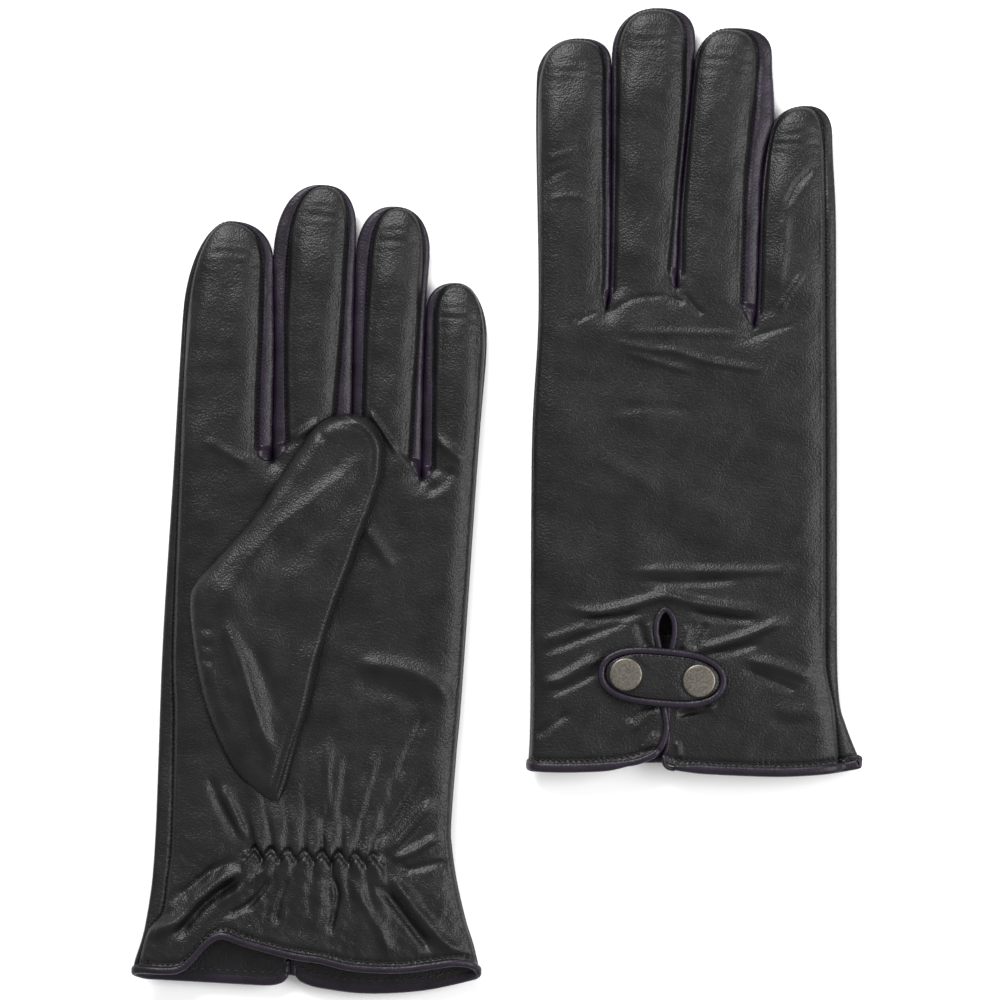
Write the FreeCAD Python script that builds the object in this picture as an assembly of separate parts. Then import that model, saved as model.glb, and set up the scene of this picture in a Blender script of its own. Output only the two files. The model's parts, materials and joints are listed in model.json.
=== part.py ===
import FreeCAD, Part
import math
import os

from FreeCAD import Vector

# A pair of slim leather dress gloves lying side by side on a table, in millimetres.
# The left glove lies palm up with its thumb folded over the palm, and the right glove
# lies back up with its thumb folded underneath. +Y points to the fingertips and +Z up.
# Both gloves are cut from one pattern: x runs from the index side to the little side,
# y from the hem to the fingertips, and only the order of the layers in z differs.

# Leather, lining and trim
LEATHER = 0.8
LINING = 0.4
WALL = LEATHER + LINING
BINDING_WIDTH = 3.0
BINDING_PROUD = 0.3
FACING_TOP = 20.0
CLEARANCE = 0.3

# Fingers run this far down into the hand, below the knuckle line
FINGER_ROOT_DEPTH = 22.0
FINGER_HIGH_Y = 245.0

# Slit and keyhole at the back of the wrist
SLIT_X = -5.6
SLIT_HALF = 0.5
KEYHOLE_RADIUS = 2.1
KEYHOLE_CENTRE_Y = 44.0
KEYHOLE_NECK_Y = 32.0
KEYHOLE_BINDING = 1.65

# Tab across the slit, with a popper at the index end and a rivet at the other
TAB_CENTRE = (-6.6, 27.9)
TAB_LENGTH = 39.0
TAB_HEIGHT = 17.4
TAB_TILT = -5.0
TAB_GAP = 1.3
TAB_BACKING = 0.7
TAB_TOP = 0.8
PIPING_WIDTH = 2.0
PIPING_THICKNESS = 1.8
CAP_RADIUS = 5.0
CAP_HEIGHT = 1.2
CAP_CHAMFER = 0.35
CAP_OFFSET = 11.0
TAB_HINGE_OFFSET = 4.8
STUD_RADIUS = 4.0
KNOB_RADIUS = 1.8
SOCKET_BORE = 2.0
SOCKET_DEPTH = 0.8
STUD_PLATE = 0.4
POST_RADIUS = 1.5
SPACER_RADIUS = 3.0
FLANGE_RADIUS = 4.0

# Elastic sewn inside the palm of the wrist
ELASTIC_BOX = (-20.0, 33.0, 26.0, 41.0)
ELASTIC_THICKNESS = 0.4

# Thumb: the fold line runs from FOLD_TOP to FOLD_FOOT. The lobe is sewn into the palm on
# the index side of that line, and the thumb lies over the palm on the other side.
FOLD_TOP = (-28.8, 127.9)
FOLD_FOOT = (-10.0, 52.3)
LOBE_SIDE = [
    (-33.4, 121.5),
    (-38.6, 113.0),
    (-39.8, 103.0),
    (-37.6, 91.0),
    (-33.0, 79.0),
    (-24.0, 65.0),
]
THUMB_SIDE = [
    (-7.0, 54.0),
    (16.8, 154.0),
    (15.6, 163.0),
    (9.6, 168.6),
    (1.6, 169.2),
    (-6.0, 161.0),
    (-17.4, 141.1),
]
THUMB_HOLE_MARGIN = 3.0

# The two gloves, which stretched a little differently when they were laid down.
# fingers: x of both edges at the knuckle line, x of both edges at the tip, and tip height.
# low and high: the side outlines (y, z) of the hand, from the hem to the fingertips.
GLOVES = {
    "left": {
        "knuckle_y": 149.0,
        "fingers": {
            "index": {"base": (-46.0, -17.2), "top": (-46.0, -20.8), "tip_y": 225.2},
            "middle": {"base": (-16.4, 5.8), "top": (-20.4, 3.6), "tip_y": 238.2},
            "ring": {"base": (6.6, 27.8), "top": (5.6, 26.4), "tip_y": 232.8},
            "little": {"base": (28.6, 44.8), "top": (27.4, 45.0), "tip_y": 210.9},
        },
        "crotches": [(-16.8, 154.5), (6.2, 163.0), (28.2, 151.6)],
        "index_side": [(-50, -12), (-49.6, 2), (-47, 12), (-45.6, 28), (-45.6, 45), (-46.5, 96), (-46, 149)],
        "little_side": [(58, -12), (53.9, 5), (48.9, 20), (45.5, 32), (43.2, 45), (43.9, 90), (44.8, 149)],
        "low": [(-14, 4.0), (48, 4.0), (66, 0.0), (260, 0.0)],
        "high": [(-14, 13.2), (28, 13.2), (48, 10.9), (260, 10.9)],
        "back_is_up": False,
        "middle_z": 8.5,
        "palm_hem": [(-50, -2), (-37, 0), (-30, 6), (-24, 10.6), (-8, 6.8), (15, 3.2), (30, 3.4), (54, 5)],
        "back_hem": [(-50, -3), (-10, -3), (-2.3, 0.9), (6, -2.7), (20, -3.7), (35, -2.1), (54, 3.5)],
        "thumb_z": (11.2, 17.8),
        "thumb_shift": 0.0,
        "turn": -3.2,
        "place": (-59.1, -143.4),
    },
    "right": {
        "knuckle_y": 140.0,
        "fingers": {
            "index": {"base": (-43.6, -23.5), "top": (-44.2, -21.4), "tip_y": 219.6},
            "middle": {"base": (-22.7, -1.0), "top": (-20.6, 3.6), "tip_y": 228.6},
            "ring": {"base": (-0.2, 21.6), "top": (4.4, 27.0), "tip_y": 222.9},
            "little": {"base": (22.4, 45.6), "top": (27.8, 44.0), "tip_y": 198.9},
        },
        "crotches": [(-23.1, 139.5), (-0.6, 145.5), (21.9, 133.5)],
        "index_side": [(-48, -12), (-46.8, 2), (-46.2, 14), (-46, 45), (-45.6, 100), (-43.6, 138)],
        "little_side": [(57, -12), (53.1, 2), (48.8, 13), (46.5, 22), (45.9, 45), (45.9, 100), (45.6, 132)],
        "low": [(-14, 0.3), (34, 0.3), (42, 4.0), (168, 4.0), (182, 0.0), (260, 0.0)],
        "high": [(-14, 11.3), (60, 11.3), (72, 11.8), (168, 11.8), (182, 11.0), (260, 11.0)],
        "back_is_up": True,
        "middle_z": 5.8,
        "palm_hem": [(-47, 0.5), (0, 2.5), (53.1, 1.5)],
        "back_hem": [(-47, 0.5), (-25, -0.6), (-9, 0.8), (-2, 0.5), (23, -1.5), (44, -0.9), (53.1, 1.5)],
        "thumb_z": (0.0, 3.7),
        "thumb_shift": -6.0,
        "turn": 0.0,
        "place": (56.25, -81.0),
    },
}

FAR = 60.0
Z_BELOW = -5.0
Z_ABOVE = 30.0


def prism(points, z_low=Z_BELOW, z_high=Z_ABOVE):
    """A straight block over a polygon in the xy plane."""
    corners = [Vector(x, y, z_low) for x, y in points]
    face = Part.Face(Part.makePolygon(corners + corners[:1]))
    return face.extrude(Vector(0, 0, z_high - z_low))


def disc(x, y, radius, z_low, z_high):
    return Part.makeCylinder(radius, z_high - z_low, Vector(x, y, z_low))


def fuse_all(shapes):
    return shapes[0].multiFuse(shapes[1:]).removeSplitter()


def offset_polygon(points, distance):
    """The polygon's outline moved inward by distance, as a face at z = 0."""
    corners = [Vector(x, y, 0) for x, y in points]
    face = Part.Face(Part.makePolygon(corners + corners[:1]))
    return face.makeOffset2D(-distance, 2)


def offset_prism(points, distance, z_low, z_high):
    face = offset_polygon(points, distance)
    face.translate(Vector(0, 0, z_low))
    return face.extrude(Vector(0, 0, z_high - z_low))


def finger_edges(glove, name, y):
    """x of the finger's two edges at height y, on straight lines from knuckle to tip."""
    finger = glove["fingers"][name]
    radius = (finger["top"][1] - finger["top"][0]) / 2
    share = (y - glove["knuckle_y"]) / (finger["tip_y"] - radius - glove["knuckle_y"])
    return [base + (top - base) * share for base, top in zip(finger["base"], finger["top"])]


def finger_axis(glove, name, y):
    return sum(finger_edges(glove, name, y)) / 2


def gap_line(glove, near, far, y):
    """x halfway between two neighbouring fingers at height y."""
    return (finger_edges(glove, near, y)[1] + finger_edges(glove, far, y)[0]) / 2


def finger_block(glove, name, inset):
    """One finger of the outline: straight tapering sides and a round tip."""
    finger = glove["fingers"][name]
    radius = (finger["top"][1] - finger["top"][0]) / 2
    top_y = finger["tip_y"] - radius
    root_y = glove["knuckle_y"] - FINGER_ROOT_DEPTH
    left_root, right_root = finger_edges(glove, name, root_y)
    left_top, right_top = finger_edges(glove, name, top_y)
    middle = (left_top + right_top) / 2
    a = Vector(left_root + inset, root_y, Z_BELOW)
    b = Vector(left_top + inset, top_y, Z_BELOW)
    tip = Vector(middle, top_y + radius - inset, Z_BELOW)
    c = Vector(right_top - inset, top_y, Z_BELOW)
    d = Vector(right_root - inset, root_y, Z_BELOW)
    edges = [
        Part.LineSegment(a, b).toShape(),
        Part.Arc(b, tip, c).toShape(),
        Part.LineSegment(c, d).toShape(),
        Part.LineSegment(d, a).toShape(),
    ]
    face = Part.Face(Part.Wire(edges))
    return face.extrude(Vector(0, 0, Z_ABOVE - Z_BELOW))


def hand_block(glove, inset):
    """The whole outline of the hand and four fingers, open past the hem."""
    index_side = [(x + inset, y) for x, y in glove["index_side"]]
    little_side = [(x - inset, y) for x, y in glove["little_side"]]
    top = [(x, y - inset) for x, y in glove["crotches"]]
    palm = prism(index_side + top + little_side[::-1])
    blocks = [finger_block(glove, name, inset) for name in glove["fingers"]]
    return fuse_all([palm] + blocks)


def layer(glove, low_offset, high_offset, low="low", high="high"):
    """The slab between two side outlines, each moved up by its offset."""
    bottom = [Vector(-FAR, y, z + low_offset) for y, z in glove[low]]
    top = [Vector(-FAR, y, z + high_offset) for y, z in glove[high]]
    corners = bottom + top[::-1]
    face = Part.Face(Part.makePolygon(corners + corners[:1]))
    return face.extrude(Vector(2 * FAR, 0, 0))


def back_layer(glove, inner, outer):
    """A slab parallel to the back: inner and outer are depths measured outwards."""
    if glove["back_is_up"]:
        return layer(glove, inner, outer, "high", "high")
    return layer(glove, -outer, -inner, "low", "low")


def palm_layer(glove, inner, outer):
    if glove["back_is_up"]:
        return layer(glove, -outer, -inner, "low", "low")
    return layer(glove, inner, outer, "high", "high")


def above_hem(glove, offset):
    """Everything past the hem line, which differs on the palm and back halves."""
    halves = []
    upper = "back_hem" if glove["back_is_up"] else "palm_hem"
    lower = "palm_hem" if glove["back_is_up"] else "back_hem"
    for hem, is_up in ((upper, True), (lower, False)):
        line = [(-FAR, glove[hem][0][1])] + glove[hem] + [(FAR, glove[hem][-1][1])]
        outline = [(x, y + offset) for x, y in line] + [(FAR, 250), (-FAR, 250)]
        z_low = glove["middle_z"] if is_up else Z_BELOW
        z_high = Z_ABOVE if is_up else glove["middle_z"]
        halves.append(prism(outline, z_low, z_high))
    return halves[0].fuse(halves[1])


def keyhole(offset, z_low=Z_BELOW, z_high=Z_ABOVE):
    """The slit with its drop-shaped head, grown sideways by offset."""
    half = SLIT_HALF + offset
    radius = KEYHOLE_RADIUS + offset
    foot_left = Vector(SLIT_X - half, -20, z_low)
    neck_left = Vector(SLIT_X - half, KEYHOLE_NECK_Y, z_low)
    head_left = Vector(SLIT_X - radius, KEYHOLE_CENTRE_Y, z_low)
    head_top = Vector(SLIT_X, KEYHOLE_CENTRE_Y + radius, z_low)
    head_right = Vector(SLIT_X + radius, KEYHOLE_CENTRE_Y, z_low)
    neck_right = Vector(SLIT_X + half, KEYHOLE_NECK_Y, z_low)
    foot_right = Vector(SLIT_X + half, -20, z_low)
    edges = [
        Part.LineSegment(foot_left, neck_left).toShape(),
        Part.LineSegment(neck_left, head_left).toShape(),
        Part.Arc(head_left, head_top, head_right).toShape(),
        Part.LineSegment(head_right, neck_right).toShape(),
        Part.LineSegment(neck_right, foot_right).toShape(),
        Part.LineSegment(foot_right, foot_left).toShape(),
    ]
    face = Part.Face(Part.Wire(edges))
    return face.extrude(Vector(0, 0, z_high - z_low))


def strip(glove, left, right):
    """The part of the fingers between two lines: each a finger's axis or a gap's middle."""
    y_low = glove["knuckle_y"] - FINGER_ROOT_DEPTH
    y_high = FINGER_HIGH_Y
    corners = []
    for names, y in ((left, y_low), (right, y_low), (right, y_high), (left, y_high)):
        x = gap_line(glove, *names, y) if len(names) == 2 else finger_axis(glove, *names, y)
        corners.append((x, y))
    return prism(corners)


def finger_walls(glove, ring):
    """The six strips of leather between the fingers, split down each gap and fingertip."""
    first_gap = ("index", "middle")
    second_gap = ("middle", "ring")
    third_gap = ("ring", "little")
    cuts = {
        "fourchette_index": (("index",), first_gap),
        "fourchette_middle_inner": (first_gap, ("middle",)),
        "fourchette_middle_outer": (("middle",), second_gap),
        "fourchette_ring_inner": (second_gap, ("ring",)),
        "fourchette_ring_outer": (("ring",), third_gap),
        "fourchette_little": (third_gap, ("little",)),
    }
    return {name: ring.common(strip(glove, *lines)) for name, lines in cuts.items()}


def side_wall(glove, ring, side):
    """The wall on the index or little side, from the hem round to the fingertip."""
    root_y = glove["knuckle_y"] - FINGER_ROOT_DEPTH
    high_y = FINGER_HIGH_Y
    name = "index" if side < 0 else "little"
    far = side * FAR
    low_x = finger_axis(glove, name, root_y)
    high_x = finger_axis(glove, name, high_y)
    hand = [(0, -20), (0, 80)]
    finger = [(low_x, root_y), (high_x, high_y)]
    return ring.common(prism(hand + finger + [(far, high_y), (far, -20)]))


def thumb_outlines(glove):
    shift = glove["thumb_shift"]
    lobe = [FOLD_TOP] + LOBE_SIDE + [FOLD_FOOT]
    page = [FOLD_FOOT] + THUMB_SIDE + [FOLD_TOP]
    return [(x, y + shift) for x, y in lobe], [(x, y + shift) for x, y in page]


def fold_frame(glove):
    """Foot of the fold line, its direction, the direction to the thumb, and its length."""
    shift = glove["thumb_shift"]
    foot = Vector(FOLD_FOOT[0], FOLD_FOOT[1] + shift, 0)
    top = Vector(FOLD_TOP[0], FOLD_TOP[1] + shift, 0)
    length = (top - foot).Length
    along = (top - foot).normalize()
    return foot, along, Vector(along.y, -along.x, 0), length


def fold_strip(glove, near, far, z_low, z_high, end_margin):
    """A block along the fold line, from near to far across it towards the thumb."""
    foot, along, across, length = fold_frame(glove)
    low = end_margin
    high = length - end_margin
    corners = []
    for t, s in ((low, near), (low, far), (high, far), (high, near)):
        corner = foot + along * t + across * s
        corners.append((corner.x, corner.y))
    return prism(corners, z_low, z_high)


def thumb_parts(glove):
    """The sewn lobe, the thumb and the thumb's lining, all hollow and open to each other."""
    z_low, z_high = glove["thumb_z"]
    lobe, page = thumb_outlines(glove)
    gap_strip = fold_strip(glove, -1.0, CLEARANCE, Z_BELOW, Z_ABOVE, -5.0)
    page_low = z_low + LEATHER
    page_high = z_high - LEATHER
    thumb = prism(page, z_low, z_high).cut(gap_strip)
    hollow = offset_prism(page, LEATHER, page_low, page_high)
    hollow = hollow.fuse(fold_strip(glove, -2.0, 2.0, page_low, page_high, 3.0))
    thumb = thumb.cut(hollow)
    lining = offset_prism(page, LEATHER, page_low, page_high)
    lining = lining.cut(fold_strip(glove, -2.0, 2.0, Z_BELOW, Z_ABOVE, -5.0))
    inside = offset_prism(page, WALL, page_low + LINING, page_high - LINING)
    inside = inside.fuse(fold_strip(glove, -2.0, 3.5, page_low + LINING, page_high - LINING, 3.0))
    lining = lining.cut(inside)
    if glove["back_is_up"]:
        base_low, base_high, open_low, open_high = z_low, z_high + CLEARANCE, page_low, z_high + 1.0
    else:
        base_low, base_high, open_low, open_high = z_low - CLEARANCE, z_high, z_low - 1.0, page_high
    base = prism(lobe, base_low, base_high)
    base_hollow = offset_prism(lobe, LEATHER, open_low, open_high)
    base_hollow = base_hollow.fuse(fold_strip(glove, -1.6, 2.0, open_low, open_high, 3.0))
    return {"thumb_base": base.cut(base_hollow), "thumb": thumb, "thumb_lining": lining}


def thumb_hole(glove):
    lobe, _page = thumb_outlines(glove)
    return offset_prism(lobe, THUMB_HOLE_MARGIN, Z_BELOW, Z_ABOVE)


def tab_outline(inset, h_low, h_high):
    """A stadium in the tab's own frame: x along the tab, h outwards from the back panel."""
    radius = TAB_HEIGHT / 2 - inset
    half = TAB_LENGTH / 2 - TAB_HEIGHT / 2
    a = Vector(-half, radius, h_low)
    b = Vector(half, radius, h_low)
    c = Vector(half, -radius, h_low)
    d = Vector(-half, -radius, h_low)
    edges = [
        Part.LineSegment(a, b).toShape(),
        Part.Arc(b, Vector(half + radius, 0, h_low), c).toShape(),
        Part.LineSegment(c, d).toShape(),
        Part.Arc(d, Vector(-half - radius, 0, h_low), a).toShape(),
    ]
    return Part.Face(Part.Wire(edges)).extrude(Vector(0, 0, h_high - h_low))


def cap(x, h):
    """A low round metal cap with a bevelled rim."""
    rim_h = h + CAP_HEIGHT - CAP_CHAMFER
    body = disc(x, 0, CAP_RADIUS, h, rim_h)
    rim = Part.makeCone(CAP_RADIUS, CAP_RADIUS - CAP_CHAMFER, CAP_CHAMFER, Vector(x, 0, rim_h))
    return body.fuse(rim)


def tab_parts():
    """The tab and its fittings in the tab's own frame, with h = 0 on the back panel."""
    backing_h = TAB_GAP
    top_h = backing_h + TAB_BACKING
    cap_h = top_h + TAB_TOP
    piping_h = top_h - PIPING_THICKNESS / 2
    popper_x = -CAP_OFFSET
    rivet_x = CAP_OFFSET
    hinge_x = TAB_HINGE_OFFSET
    backing = tab_outline(PIPING_WIDTH, backing_h, top_h)
    top = tab_outline(PIPING_WIDTH, top_h, cap_h)
    piping = tab_outline(0, piping_h, piping_h + PIPING_THICKNESS)
    piping = piping.cut(tab_outline(PIPING_WIDTH, 0, 10))
    popper_shank = disc(popper_x, 0, KNOB_RADIUS - 0.4, backing_h, cap_h)
    rivet_shank = disc(rivet_x, 0, POST_RADIUS, -LEATHER, cap_h)
    side = TAB_LENGTH
    moving_half = Part.makeBox(side, side, 10, Vector(hinge_x - CLEARANCE / 2 - side, -side / 2, 0))
    fixed_half = Part.makeBox(side, side, 10, Vector(hinge_x + CLEARANCE / 2, -side / 2, 0))
    socket = disc(popper_x, 0, STUD_RADIUS, backing_h - SOCKET_DEPTH, backing_h)
    socket = socket.cut(disc(popper_x, 0, SOCKET_BORE, 0, backing_h))
    knob = disc(popper_x, 0, KNOB_RADIUS, STUD_PLATE, backing_h - 0.1)
    stud = disc(popper_x, 0, STUD_RADIUS, 0, STUD_PLATE).fuse(knob)
    popper_flange = disc(popper_x, 0, FLANGE_RADIUS, -WALL, -LEATHER)
    post = disc(popper_x, 0, POST_RADIUS, -LEATHER, 0).fuse(popper_flange)
    rivet_spacer = disc(rivet_x, 0, SPACER_RADIUS, 0, backing_h)
    rivet_flange = disc(rivet_x, 0, FLANGE_RADIUS, -WALL, -LEATHER)
    rivet_post = fuse_all([rivet_shank, rivet_spacer, rivet_flange])
    return {
        "tab_top": top.common(moving_half).cut(popper_shank),
        "tab_backing": backing.common(moving_half).cut(popper_shank),
        "tab_piping": piping.common(moving_half),
        "tab_root": top.common(fixed_half).cut(rivet_shank),
        "tab_root_backing": backing.common(fixed_half).cut(rivet_shank),
        "tab_root_piping": piping.common(fixed_half),
        "popper_cap": cap(popper_x, cap_h).fuse(popper_shank),
        "popper_socket": socket,
        "popper_stud": stud,
        "popper_post": post,
        "rivet_cap": cap(rivet_x, cap_h),
        "rivet_post": rivet_post,
    }


def tab_placement(glove):
    """Where the tab's frame sits on the glove: on the outside of the back panel."""
    side = glove["high"] if glove["back_is_up"] else glove["low"]
    back_z = side[0][1]
    placement = FreeCAD.Placement()
    placement.Base = Vector(TAB_CENTRE[0], TAB_CENTRE[1], back_z)
    turn = FreeCAD.Rotation(Vector(0, 0, 1), TAB_TILT)
    flip = FreeCAD.Rotation(Vector(1, 0, 0), 0 if glove["back_is_up"] else 180)
    placement.Rotation = turn.multiply(flip)
    return placement


def glove_parts(glove):
    outer = hand_block(glove, 0.0)
    inner = hand_block(glove, LEATHER)
    cavity = hand_block(glove, WALL)
    keep = above_hem(glove, BINDING_WIDTH)
    binding_zone = above_hem(glove, 0.0).cut(keep)
    ring = outer.cut(inner).common(layer(glove, LEATHER, -LEATHER)).common(keep)
    slit = keyhole(KEYHOLE_BINDING)
    back_slit = slit.common(back_layer(glove, -WALL - 0.5, 3.0))

    parts = finger_walls(glove, ring)
    back = outer.common(back_layer(glove, -LEATHER, 0)).common(keep)
    back = back.fuse(side_wall(glove, ring, -1)).removeSplitter().cut(back_slit)
    palm = outer.common(palm_layer(glove, -LEATHER, 0)).common(keep)
    palm = palm.fuse(side_wall(glove, ring, 1)).removeSplitter()
    hole = thumb_hole(glove).common(palm_layer(glove, -WALL - 0.2, 0.5))
    palm = palm.cut(hole)

    x_low, y_low, x_high, y_high = ELASTIC_BOX
    elastic = prism([(x_low, y_low), (x_high, y_low), (x_high, y_high), (x_low, y_high)])
    elastic = elastic.common(palm_layer(glove, -LEATHER, -LEATHER + ELASTIC_THICKNESS))
    palm = palm.cut(elastic)

    shell = inner.common(layer(glove, LEATHER, -LEATHER)).cut(cavity.common(layer(glove, WALL, -WALL)))
    shell = shell.common(keep).cut(back_slit).cut(hole)
    wrist = prism([(-FAR, -20), (FAR, -20), (FAR, FACING_TOP), (-FAR, FACING_TOP)])
    facing = shell.common(wrist)
    lining = shell.cut(wrist)

    proud = hand_block(glove, -BINDING_PROUD).common(layer(glove, -BINDING_PROUD, BINDING_PROUD))
    binding = proud.cut(cavity.common(layer(glove, WALL, -WALL))).common(binding_zone)
    binding = binding.cut(keyhole(0.0).common(back_layer(glove, -3.0, 3.0)))
    slit_edge = slit.cut(keyhole(0.0)).common(back_layer(glove, -WALL, BINDING_PROUD)).common(keep)

    parts.update({
        "back_panel": back,
        "palm_panel": palm,
        "lining": lining,
        "cuff_facing": facing,
        "wrist_elastic": elastic,
        "hem_binding": binding,
        "keyhole_binding": slit_edge,
    })
    parts.update(thumb_parts(glove))

    placement = tab_placement(glove)
    fittings = tab_parts()
    for shape in fittings.values():
        shape.Placement = placement
    parts.update(fittings)
    for name in ("popper_post", "rivet_post"):
        for sheet in ("back_panel", "lining", "cuff_facing"):
            parts[sheet] = parts[sheet].cut(fittings[name])
    return parts


def place_on_table(shape, glove):
    shape = shape.copy()
    shape.rotate(Vector(0, 0, 0), Vector(0, 0, 1), glove["turn"])
    shape.translate(Vector(glove["place"][0], glove["place"][1], 0))
    return shape


def report_points(shift):
    """Prints the joint lines and rest faces in metres, for whoever writes the data sheet."""
    for side, glove in GLOVES.items():
        foot, along, across, length = fold_frame(glove)
        z_low, z_high = glove["thumb_z"]
        fold_z = z_low if glove["back_is_up"] else z_high
        tab = tab_placement(glove)
        hinge_h = TAB_GAP + TAB_BACKING + TAB_TOP
        points = {
            "fold foot": Vector(foot.x, foot.y, fold_z),
            "fold top": Vector(foot.x, foot.y, fold_z) + along * length,
            "tab hinge": tab.multVec(Vector(TAB_HINGE_OFFSET, 0, hinge_h)),
            "tab hinge up": tab.multVec(Vector(TAB_HINGE_OFFSET, 10, hinge_h)),
        }
        for name, point in points.items():
            vertex = place_on_table(Part.Vertex(point), glove)
            vertex.translate(shift)
            print(side, name, [round(v / 1000, 5) for v in (vertex.X, vertex.Y, vertex.Z)])


def main():
    os.makedirs("parts", exist_ok=True)
    placed = {}
    for side, glove in GLOVES.items():
        for name, shape in glove_parts(glove).items():
            placed[f"{side}_{name}"] = place_on_table(shape, glove)
    box = FreeCAD.BoundBox()
    for shape in placed.values():
        box.add(shape.BoundBox)
    shift = Vector(-(box.XMin + box.XMax) / 2, -(box.YMin + box.YMax) / 2, -box.ZMin)
    for name, shape in placed.items():
        shape.translate(shift)
        shape.exportStep(f"parts/{name}.step")
        print(name, len(shape.Solids), shape.isValid(), round(shape.Volume, 1))
    print("size", round(box.XLength, 2), round(box.YLength, 2), round(box.ZLength, 2))
    report_points(shift)


main()
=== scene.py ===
import json
import math

import bmesh
import bpy
import numpy as np
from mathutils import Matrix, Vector


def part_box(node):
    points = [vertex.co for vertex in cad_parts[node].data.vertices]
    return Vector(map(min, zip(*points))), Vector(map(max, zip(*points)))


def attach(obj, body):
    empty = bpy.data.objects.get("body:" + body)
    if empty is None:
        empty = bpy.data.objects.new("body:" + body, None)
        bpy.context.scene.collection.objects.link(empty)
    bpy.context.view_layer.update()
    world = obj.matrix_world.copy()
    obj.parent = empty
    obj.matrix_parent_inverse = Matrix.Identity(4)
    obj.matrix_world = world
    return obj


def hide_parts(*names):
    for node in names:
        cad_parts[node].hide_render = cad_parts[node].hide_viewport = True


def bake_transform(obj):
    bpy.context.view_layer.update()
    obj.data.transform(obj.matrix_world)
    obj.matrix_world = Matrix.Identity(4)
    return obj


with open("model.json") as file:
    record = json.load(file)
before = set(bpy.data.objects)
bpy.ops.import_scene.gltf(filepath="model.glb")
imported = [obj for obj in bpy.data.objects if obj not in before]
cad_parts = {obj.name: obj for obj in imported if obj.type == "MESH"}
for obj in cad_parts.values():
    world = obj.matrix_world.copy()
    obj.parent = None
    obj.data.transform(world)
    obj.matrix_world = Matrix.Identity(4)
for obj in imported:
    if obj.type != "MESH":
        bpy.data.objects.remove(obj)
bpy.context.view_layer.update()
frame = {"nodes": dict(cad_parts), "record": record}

# A pair of slim leather dress gloves lying on a table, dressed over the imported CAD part.
# Shapes are worked out in each glove's own millimetres: x from the index side to the
# little side, y from the hem to the fingertips, z up from the table. "top" is the panel
# that faces up (the palm of the left glove, the back of the right one) and "low" the
# panel underneath.

MM = 0.001
SIDES = ("left", "right")
FINGERS = ("index", "middle", "ring", "little")

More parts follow.
